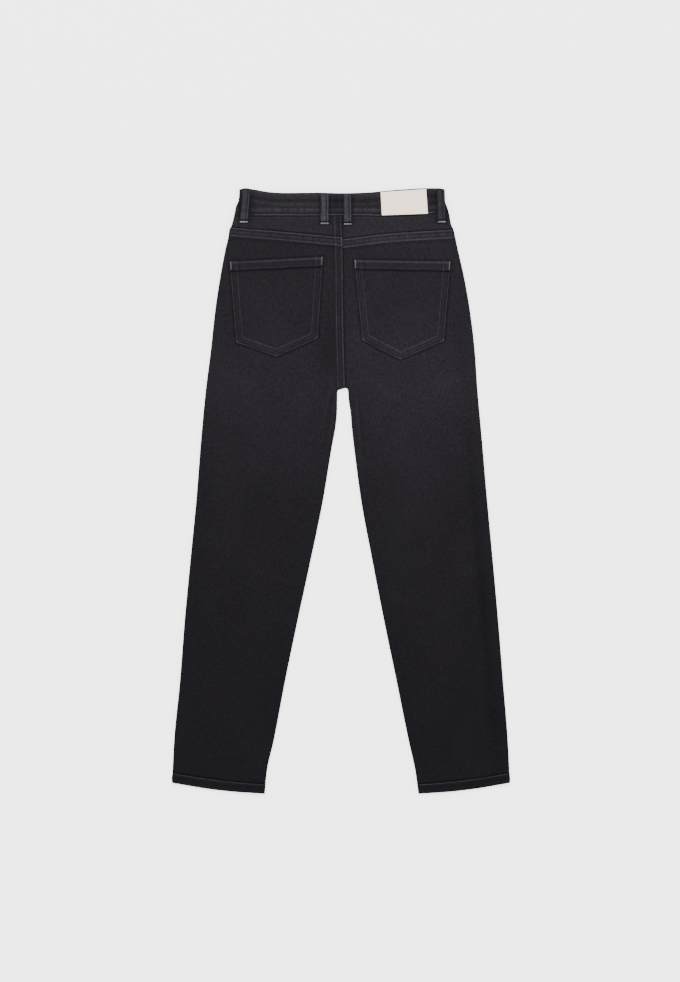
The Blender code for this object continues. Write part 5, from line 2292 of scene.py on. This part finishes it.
class StitchTree:
    """The Geometry Nodes tree that sews stitches along the rows of a mesh of edges."""

    normal_name = "cloth_normal"
    sway = 0.07
    inputs = (
        ("Pitch", FLOAT, 0.003), ("Length", FLOAT, 0.0025), ("Width", FLOAT, 0.0006),
        ("Height", FLOAT, 0.0004), ("Turn", FLOAT, 0.0), ("Seed", "NodeSocketInt", 7),
        ("Thread", "NodeSocketMaterial", None),
    )

    def __init__(self) -> None:
        """Build the tree."""
        self.tree = bpy.data.node_groups.new("sewn_rows", "GeometryNodeTree")
        new_socket = self.tree.interface.new_socket
        for way in ("OUTPUT", "INPUT"):
            new_socket("Geometry", in_out=way, socket_type="NodeSocketGeometry")
        self.identifiers = {}
        for name, kind, value in self.inputs:
            socket = new_socket(name, in_out="INPUT", socket_type=kind)
            if value is not None:
                socket.default_value = value
            self.identifiers[name] = socket.identifier
        self.bench = Bench(self.tree)
        self.given = self.bench.add("NodeGroupInput").outputs
        self.lay_nodes()

    def lay_nodes(self) -> None:
        """Put the nodes in: stitches at even steps along each row, made real, smooth and of thread."""
        bench, given = self.bench, self.given
        curves = bench.add("GeometryNodeMeshToCurve", {"Mesh": given["Geometry"]}).outputs[0]
        feeds = {"Curve": curves, "Length": given["Pitch"]}
        spaced = bench.add("GeometryNodeResampleCurve", feeds, mode="LENGTH")
        feeds = {"Min": (0.88, 0.85, 0.8), "Max": (1.06, 1.12, 1.15), "Seed": given["Seed"]}
        sizes = bench.add("FunctionNodeRandomValue", feeds, data_type="FLOAT_VECTOR")
        lay = bench.add("GeometryNodeInstanceOnPoints", {
            "Points": spaced.outputs[0], "Instance": self.one_stitch(),
            "Rotation": self.turned(), "Scale": sizes.outputs["Value"],
        })
        real = bench.add("GeometryNodeRealizeInstances", {0: lay.outputs[0]}).outputs[0]
        smooth = bench.add("GeometryNodeSetShadeSmooth", {0: real}).outputs[0]
        thread = bench.add("GeometryNodeSetMaterial", {"Geometry": smooth, "Material": given["Thread"]})
        bench.add("NodeGroupOutput", {0: thread.outputs[0]})

    def one_stitch(self) -> bpy.types.NodeSocket:
        """Add the nodes of one stitch: a short thread that lies along x.

        Returns:
            The stitch's geometry.
        """
        bead = self.bench.add("GeometryNodeMeshUVSphere", {"Segments": 6, "Rings": 4, "Radius": 0.5})
        sizes = [self.given[name] for name in ("Height", "Width", "Length")]
        scale = self.bench.add("ShaderNodeCombineXYZ", dict(enumerate(sizes))).outputs[0]
        lying = (0.0, math.pi / 2.0, 0.0)
        feeds = {"Geometry": bead.outputs["Mesh"], "Rotation": lying, "Scale": scale}
        return self.bench.add("GeometryNodeTransform", feeds).outputs[0]

    def turned(self) -> bpy.types.NodeSocket:
        """Add the nodes that lay a stitch along its row and on the cloth.

        Returns:
            The rotation.
        """
        bench, given = self.bench, self.given
        align = "FunctionNodeAlignRotationToVector"
        tangent = bench.add("GeometryNodeInputTangent").outputs[0]
        along = bench.add(align, {"Vector": tangent}, axis="X").outputs[0]
        feeds = {"Name": self.normal_name}
        normal = bench.add("GeometryNodeInputNamedAttribute", feeds, data_type="FLOAT_VECTOR")
        feeds = {"Rotation": along, "Vector": normal.outputs["Attribute"]}
        upright = bench.add(align, feeds, axis="Z", pivot_axis="X").outputs[0]
        sway = bench.add("FunctionNodeRandomValue", {"Seed": given["Seed"]}, data_type="FLOAT")
        least, most = [socket for socket in sway.inputs if socket.type == "VALUE"][:2]
        least.default_value = -self.sway
        most.default_value = self.sway
        value = next(socket for socket in sway.outputs if socket.type == "VALUE")
        feeds = {"Axis": (0.0, 0.0, 1.0), "Angle": bench.math("ADD", given["Turn"], value)}
        turn = bench.add("FunctionNodeAxisAngleToRotation", feeds).outputs[0]
        feeds = {"Rotation": upright, "Rotate By": turn}
        return bench.add("FunctionNodeRotateRotation", feeds, rotation_space="LOCAL").outputs[0]


@dataclass
class Seamstress:
    """Sews rows of stitches and makes each set of rows one mesh."""

    form: GarmentForm
    tree: StitchTree
    sunk: float = 0.04

    def sew(self, name: str, rows: list[SewnRow], kind: StitchKind, thread: Look) -> None:
        """Sew a set of rows.

        Args:
            name: The piece's name.
            rows: The rows.
            kind: The kind of stitch.
            thread: The thread's look.
        """
        points, normals, edges, count = [], [], [], 0
        for row in rows:
            place, normal = row.surface(self.form)
            points.append(place - normal * self.sunk * MM)
            normals.append(normal)
            edges += [(k, k + 1) for k in range(count, count + len(place) - 1)]
            count += len(place)
        mesh = bpy.data.meshes.new(name)
        mesh.from_pydata(np.concatenate(points).tolist(), edges, [])
        layer = mesh.attributes.new(self.tree.normal_name, "FLOAT_VECTOR", "POINT")
        layer.data.foreach_set("vector", np.concatenate(normals).ravel())
        piece = placed(name, mesh)
        sewing = piece.modifiers.new("sewing", "NODES")
        sewing.node_group = self.tree.tree
        size = kind.value
        values = {
            "Pitch": size.pitch * MM, "Length": size.length * MM, "Width": size.width * MM,
            "Height": size.height * MM, "Turn": math.radians(size.turn), "Seed": len(rows),
            "Thread": material_of(thread),
        }
        for key, value in values.items():
            sewing[self.tree.identifiers[key]] = value
        self.settle(piece)

    def settle(self, piece: bpy.types.Object) -> None:
        """Args:
            piece: The object with the sewing modifier.
        """
        bpy.context.view_layer.update()
        shown = piece.evaluated_get(bpy.context.evaluated_depsgraph_get())
        sewn = bpy.data.meshes.new_from_object(shown)
        piece.modifiers.clear()
        piece.data = sewn
        if self.tree.normal_name in sewn.attributes:
            sewn.attributes.remove(sewn.attributes[self.tree.normal_name])
        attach(piece, BODY)
        log.info("%s: %d faces", piece.name, len(sewn.polygons))


@dataclass
class Sewing:
    """Every row of stitches on the garment, and how far in from their edges the rows lie."""

    form: GarmentForm
    panels: dict[Side, BackPanel]
    yokes: dict[Side, Yoke]
    band: Waistband
    pockets: dict[Side, BackPocket]
    loops: list[BeltLoop]
    hems: dict[Side, HemTurnUp]
    patch: WaistPatch
    fronts: dict[Side, FrontPanel]
    step: float = 1.6
    band_top_inset: float = 3.2
    band_seam_inset: float = 1.6
    band_front_inset: float = 2.2
    yoke_seam_insets: Pair = (1.7, 13.2)
    seat_seam_insets: Pair = (1.5, 11.2)
    yoke_centre_insets: Pair = (2.0, 11.7)
    pocket_insets: Pair = (1.2, 11.0)
    pocket_hem_inset: float = 2.3
    hem_share: float = 0.095
    patch_inset: float = 2.0
    fly_insets: Pair = (0.0, 6.0)
    front_seam_insets: Pair = (1.8, 8.0)
    scoop_insets: Pair = (2.0, 8.0)

    def make(self) -> None:
        """Sew every row."""
        band = self.waistband_rows()
        jobs = (
            ("stitches_waistband_top", band[0::2], StitchKind.SEAM, Look.TONAL),
            ("stitches_waistband_seam", band[1::2], StitchKind.SEAM, Look.PALE),
            ("stitches_yoke_and_seat", self.seat_rows(), StitchKind.SEAM, Look.TONAL),
            ("stitches_pockets", self.pocket_rows(), StitchKind.FINE, Look.TONAL),
            ("stitches_loops", self.loop_rows(), StitchKind.FINE, Look.TONAL),
            ("stitches_hems", self.hem_rows(), StitchKind.SEAM, Look.TONAL),
            ("stitches_patch", self.patch_rows(), StitchKind.FINE, Look.CREAM),
            ("stitches_front", self.front_rows(), StitchKind.SEAM, Look.TONAL),
            ("tacks_loops", self.loop_tacks(), StitchKind.TACK, Look.BAR),
            ("tacks_pockets", self.pocket_tacks(), StitchKind.TACK, Look.PALE),
        )
        worker = Seamstress(self.form, StitchTree())
        for job in jobs:
            worker.sew(*job)

    def waistband_rows(self) -> list[SewnRow]:
        """Return the rows along the waistband's edges, top and seam in turn.

        Returns:
            The two rows of the back, and the four of the front.
        """
        form, band = self.form, self.band
        x = np.arange(-159.0, 163.0, self.step)
        rows = [SewnRow.along(x, form.band_top_down(x) + self.band_top_inset, band.height)]
        x = x[(x > -139.0) & (x < 151.0)]
        rows.append(SewnRow.along(x, form.band_bottom_down(x) - self.band_seam_inset, band.height))
        for start, end in ((-146.0, 12.0), (40.0, 150.0)):
            x = np.arange(start, end, self.step)
            top = form.front_band_top(x) + self.band_top_inset
            for down in (top, form.front_band_bottom(x) - self.band_front_inset):
                rows.append(SewnRow.along(x, down, band.front_height, Face.DOWN))
        return rows

    def seat_rows(self) -> list[SewnRow]:
        """Return the double rows of the yoke seams and the centre seam.

        Returns:
            The rows.
        """
        form = self.form
        rows = []
        centre_clear = {Side.LEFT: -0.6, Side.RIGHT: 1.2}
        for side in Side:
            edge = float(form.outer_edge[side](72.0)) + side.inward * 4.0
            x = np.arange(*sorted((edge, form.yoke_point_x + centre_clear[side])), self.step)
            for below in self.yoke_seam_insets:
                rows.append(SewnRow.along(x, form.yoke_down[side](x) + below, self.panels[side].height))
        for start, end, insets, piece in (
            (82.0, 322.0, self.seat_seam_insets, self.panels[Side.LEFT]),
            (47.0, 78.0, self.yoke_centre_insets, self.yokes[Side.LEFT]),
        ):
            down = np.arange(start, end, self.step)
            for inset in insets:
                rows.append(SewnRow.along(form.centre_x(down) - inset, down, piece.height))
        return rows

    def pocket_rows(self) -> list[SewnRow]:
        """Return the double rows round each pocket and the row of its top hem.

        Returns:
            The rows.
        """
        rows = []
        for pocket in self.pockets.values():
            paths = [pocket.outline.inset(inset) for inset in self.pocket_insets]
            paths.append(pocket.top_line.inset(-pocket.hem_depth + self.pocket_hem_inset))
            rows += [SewnRow(path.sampled(self.step), pocket.height) for path in paths]
        return rows

    def loop_rows(self) -> list[SewnRow]:
        """Return the two rows along each belt loop.

        Returns:
            The rows.
        """
        rows = []
        for loop in self.loops:
            x, down = loop.middle(np.linspace(0.02, 0.98, 36))
            for across in (-loop.channel, loop.channel):
                rows.append(SewnRow.along(x + across * loop.width, down, self.on_loop(loop), loop.face))
        return rows

    def on_loop(self, loop: BeltLoop) -> Height:
        """Return the height of a belt loop's outer face as a function of x and down.

        Args:
            loop: The belt loop.

        Returns:
            The function.
        """
        def height(x: Field, down: Field) -> Field:
            """Return the height at x and down."""
            share = np.clip((down - loop.top_down) / (loop.bottom_down - loop.top_down), 0.0, 1.0)
            return loop.height_at((x - loop.middle(share)[0]) / loop.width, share)
        return height

    def loop_tacks(self) -> list[SewnRow]:
        """Return the bar tack at the lower end of each belt loop.

        Returns:
            The rows.
        """
        rows = []
        across = np.linspace(-0.46, 0.46, 12)
        for loop in self.loops:
            middle, down = loop.middle(np.array(0.965))
            downs = np.full(len(across), float(down))
            rows.append(SewnRow.along(across * loop.width + middle, downs, self.on_loop(loop), loop.face))
        return rows

    def pocket_tacks(self) -> list[SewnRow]:
        """Return the bar tacks at the pockets' top corners.

        Returns:
            The rows.
        """
        rows = []
        for pocket in self.pockets.values():
            for corner, way in ((pocket.top_left, 1.0), (pocket.top_right, -1.0)):
                start = np.array((corner[0] + 2.2 * way, corner[1] + 1.0))
                path = start + np.linspace(0.0, 1.0, 8)[:, None] * np.array((0.6 * way, 12.0))
                rows.append(SewnRow(path, pocket.height))
        return rows

    def hem_rows(self) -> list[SewnRow]:
        """Return the row at the top of each hem turn-up, on the back and the front.

        Returns:
            The rows.
        """
        rows = []
        for hem in self.hems.values():
            line = hem.line(self.hem_share)
            width = math.hypot(line.inner[0] - line.outer[0], line.inner[1] - line.outer[1])
            x, down = line.at(np.linspace(5.0, width - 5.0, 90))

            def above(x: Field, down: Field, hem: HemTurnUp = hem) -> Field:
                """Return the height of the back of the turn-up."""
                return hem.height_at(x, down, self.hem_share)

            def below(x: Field, down: Field) -> Field:
                """Return the height of the front of the turn-up."""
                return np.zeros(np.shape(x)) + 0.12

            rows.append(SewnRow.along(x, down, above))
            rows.append(SewnRow.along(x, down, below, Face.DOWN))
        return rows

    def patch_rows(self) -> list[SewnRow]:
        """Return the row round the patch's border.

        Returns:
            The row, in a list.
        """
        patch = self.patch
        turns = ((0.0, 0.5), (0.0, 1.0), (1.0, 1.0), (1.0, 0.0), (0.0, 0.0), (0.0, 0.5))
        border = Outline(np.array([patch.place(np.array(a), np.array(b)) for a, b in turns]))
        path = border.inset(self.patch_inset).sampled(self.step)
        return [SewnRow(path, lambda x, down: patch.height(x, down) - patch.pressed)]

    def front_rows(self) -> list[SewnRow]:
        """Return the rows of the fly, the front centre seam and the pocket openings.

        Returns:
            The rows.
        """
        form = self.form
        left = self.fronts[Side.LEFT].height
        rows = []
        turn = np.radians(np.linspace(0.0, 82.0, 14))
        for inset in self.fly_insets:
            straight = np.array([(-38.0 + inset, down) for down in np.arange(66.0, 140.0, self.step)])
            bend_x = 3.0 - (41.0 - inset) * np.cos(turn)
            bend = np.stack((bend_x, 140.0 + (44.0 - inset) * np.sin(turn)), axis=1)
            rows.append(SewnRow(np.concatenate((straight, bend)), left, Face.DOWN))
        down = np.arange(190.0, 320.0, self.step)
        for inset in self.front_seam_insets:
            rows.append(SewnRow.along(form.centre_x(down) - inset, down, left, Face.DOWN))
        angle = np.radians(np.linspace(4.0, 80.0, 60))
        for side, panel in self.fronts.items():
            for inset in self.scoop_insets:
                down = panel.scoop_top + (panel.scoop_depth + inset) * np.sin(angle)
                x = form.outer_edge[side](down) + side.inward * (panel.scoop_width + inset) * np.cos(angle)
                inside = (x - form.outer_edge[side](down)) * side.inward > form.wrap + 2.0
                inside &= down > form.front_band_bottom(x) + 2.0
                rows.append(SewnRow.along(x[inside], down[inside], panel.height, Face.DOWN))
        return rows


@dataclass
class Studio:
    """The floor, the light and the camera; sizes are in metres, the sensor's in millimetres."""

    camera_height: float = 8.0
    view_height: float = 1.591
    view_centre: Pair = (-0.0015, 0.0002)
    sensor: float = 36.0
    floor_size: float = 16.0
    floor_level: float = -0.0003
    sky: float = 1.62
    lamp_size: float = 5.0
    lamps: tuple[tuple[str, float, Triple], ...] = (
        ("key", 900.0, (-1.2, 5.5, 6.5)), ("fill", 132.0, (4.6, -3.0, 5.4)),
    )

    def make(self) -> None:
        """Build the floor, the light and the camera."""
        self.make_floor()
        self.make_sky()
        for name, power, place in self.lamps:
            self.make_lamp(name, power, Vector(place))
        self.make_camera()

    def make_floor(self) -> None:
        """Build the plain pale floor."""
        half, level = self.floor_size / 2.0, self.floor_level
        mesh = bpy.data.meshes.new("floor")
        corners = [(-half, -half, level), (half, -half, level), (half, half, level), (-half, half, level)]
        mesh.from_pydata(corners, [], [(0, 1, 2, 3)])
        mesh.materials.append(material_of(Look.FLOOR))
        placed("floor", mesh)

    def make_sky(self) -> None:
        """Light the scene evenly from all round."""
        world = bpy.data.worlds.new("even_light")
        world.use_nodes = True
        background = world.node_tree.nodes["Background"]
        background.inputs["Color"].default_value = (1.0, 1.0, 1.0, 1.0)
        background.inputs["Strength"].default_value = self.sky
        bpy.context.scene.world = world

    def make_lamp(self, name: str, power: float, place: Vector) -> None:
        """Add a soft square lamp that looks at the garment.

        Args:
            name: The lamp's name.
            power: Its power in watts.
            place: Where it stands.
        """
        lamp = bpy.data.lights.new(name, "AREA")
        lamp.energy = power
        lamp.size = self.lamp_size
        holder = placed(name, lamp)
        holder.location = place
        holder.rotation_euler = (-place).to_track_quat("-Z", "Y").to_euler()

    def make_camera(self) -> None:
        """Set the camera straight above the garment."""
        camera = bpy.data.cameras.new("camera")
        camera.sensor_width = self.sensor
        camera.lens = self.sensor * self.camera_height / self.view_height
        holder = placed("camera", camera)
        holder.location = (*self.view_centre, self.camera_height)
        bpy.context.scene.camera = holder


@dataclass
class Jeans:
    """The whole garment: its form, its finishes and all its pieces."""

    tilt: float = 7.8
    creases: tuple[Crease, ...] = (
        Crease((20, 316), (37, 500), 1.2, 3.4, 2.5), Crease((29, 336), (38, 456), -1.1, 2.4, 1),
        Crease((-8, 304), (-31, 400), 1.2, 2.8, -3), Crease((-8, 340), (-26, 444), 0.9, 2.4, 1),
        Crease((-12, 322), (-25, 420), -1.1, 2.4, -1), Crease((-16, 300), (-72, 348), 0.6, 7, -6),
        Crease((30, 304), (96, 352), 0.8, 8, 7), Crease((72, 656), (120, 690), 0.9, 8, 5),
        Crease((-118, 676), (-64, 716), 0.8, 8, -4), Crease((-70, 640), (-150, 612), 0.7, 9, 5),
        Crease((80, 610), (168, 590), 0.6, 10, -5), Crease((-236, 566), (-168, 600), 0.7, 10, 4),
        Crease((238, 600), (180, 630), 0.6, 9, 4), Crease((-206, 300), (-130, 330), 0.6, 11, 5),
        Crease((210, 300), (140, 322), 0.6, 10, 5),
    )

    def make(self) -> None:
        """Build and dress every piece."""
        form, fades = GarmentForm(creases=self.creases), ToneAndShadeMap()
        black = {"form": form, "fades": fades, "look": Look.BLACK}
        worn = {"form": form, "fades": fades, "look": Look.WORN}
        band = Waistband(**worn, node="waistband", wall=2.2, edge=0.4, cut=Cut(0.0375, 0.72, 0.0262))
        band.make()
        yokes, panels, fronts, hems = {}, {}, {}, {}
        pockets = self.make_pockets(black)
        for side in Side:
            key = side.value
            leg = {"side": side, "grain": self.tilt * side.inward}
            on_front = ("front_panel_" + key,)
            yokes[side] = Yoke(**worn, **leg, node="yoke_" + key, cut=Cut(0.042, 0.20, 0.0062),
                               lies_on=("pocket_facing_" + key,))
            hems[side] = HemTurnUp(**black, side=side, grain=90.0, node="hem_" + key, wall=2.2, edge=0.35,
                                   cut=Cut(0.017, 0.31, 0.0052))
            panels[side] = BackPanel(**black, **leg, node="back_panel_" + key, cut=Cut(0.25, 0.91, 0.190),
                                     lies_on=on_front, pocket=pockets[side].border,
                                     hem=hems[side].upper_edge())
            fronts[side] = FrontPanel(**black, **leg, node="front_panel_" + key,
                                      cut=Cut(0.235, 0.885, 0.153))
            facing = PocketFacing(**black, **leg, node="pocket_facing_" + key, cut=Cut(0.09, 0.09, 0.0052),
                                  lies_on=on_front)
            for piece in (yokes[side], panels[side], fronts[side], hems[side], facing):
                piece.make()
        loops = self.make_loops({"form": form, "fades": fades, "look": Look.LOOP})
        patch = WaistPatch(form, fades, Look.PATCH, "waist_patch", "patch", edge=0.3,
                           cut=Cut(0.0375, 0.0745, 0.00273), lies_on=("waistband",))
        patch.make()
        WaistButton(form).make()
        Sewing(form, panels, yokes, band, pockets, loops, hems, patch, fronts).make()

    def make_pockets(self, black: dict[str, object]) -> dict[Side, BackPocket]:
        """Build the two back pockets.

        Args:
            black: The form, the map of tone and painted shade, and the look that they take.

        Returns:
            The pockets by side.
        """
        cut = Cut(0.153, 0.162, 0.0218)
        left = BackPocket(**black, node="back_pocket_left", edge=0.3, grain=5.0, cut=cut,
                          lies_on=("back_panel_left",), side=Side.LEFT)
        right = BackPocket(**black, node="back_pocket_right", edge=0.3, grain=-5.0, cut=cut,
                           lies_on=("back_panel_right",), side=Side.RIGHT,
                           top_left=(20.9, 116.4), top_right=(178.0, 119.1), bottom_right=(167.0, 248.2),
                           tip=(96.1, 278.7), bottom_left=(34.8, 247.3))
        for pocket in (left, right):
            pocket.make()
        return {Side.LEFT: left, Side.RIGHT: right}

    def make_loops(self, given: dict[str, object]) -> list[BeltLoop]:
        """Build the six belt loops.

        Args:
            given: The form, the map of tone and painted shade, and the look that they take.

        Returns:
            The loops.
        """
        form = given["form"]
        back = {
            "loop_side_left": (-152.4, -157.4, 12.8, 3.2, 57.0, 0.86),
            "loop_center_left": (-26.1, -26.4, 13.2, 10.2, 59.4, 1.08),
            "loop_center_right": (10.4, 11.0, 12.8, 9.6, 60.6, 1.0),
            "loop_side_right": (161.6, 163.4, 13.0, 3.0, 57.0, 0.72),
        }
        front = {"loop_front_left": (-78.0, -79.0), "loop_front_right": (80.0, 81.0)}
        common = {**given, "slot": "loop_denim", "wall": 1.6, "edge": 0.3, "lies_on": ("waistband",),
                  "cut": Cut(0.0128, 0.055, 0.0007)}
        loops = [BeltLoop(**common, node=name, face=Face.UP, top_x=row[0], bottom_x=row[1], width=row[2],
                          top_down=row[3], bottom_down=row[4], tone=row[5]) for name, row in back.items()]
        for name, (top_x, bottom_x) in front.items():
            top_down = float(form.front_band_top(top_x)) + 1.5
            bottom_down = float(form.front_band_bottom(bottom_x)) + 14.0
            loops.append(BeltLoop(**common, node=name, face=Face.DOWN, top_x=top_x, bottom_x=bottom_x,
                                  top_down=top_down, bottom_down=bottom_down, arch=0.7, ridge=0.2))
        for loop in loops:
            loop.make()
        return loops


def write_sizes() -> None:
    """Bring the view layer up to date."""
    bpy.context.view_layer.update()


def main() -> None:
    """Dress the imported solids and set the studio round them."""
    logging.basicConfig(level=logging.INFO, format="%(message)s")
    Jeans().make()
    Studio().make()
    write_sizes()


if __name__ == "__main__":
    main()
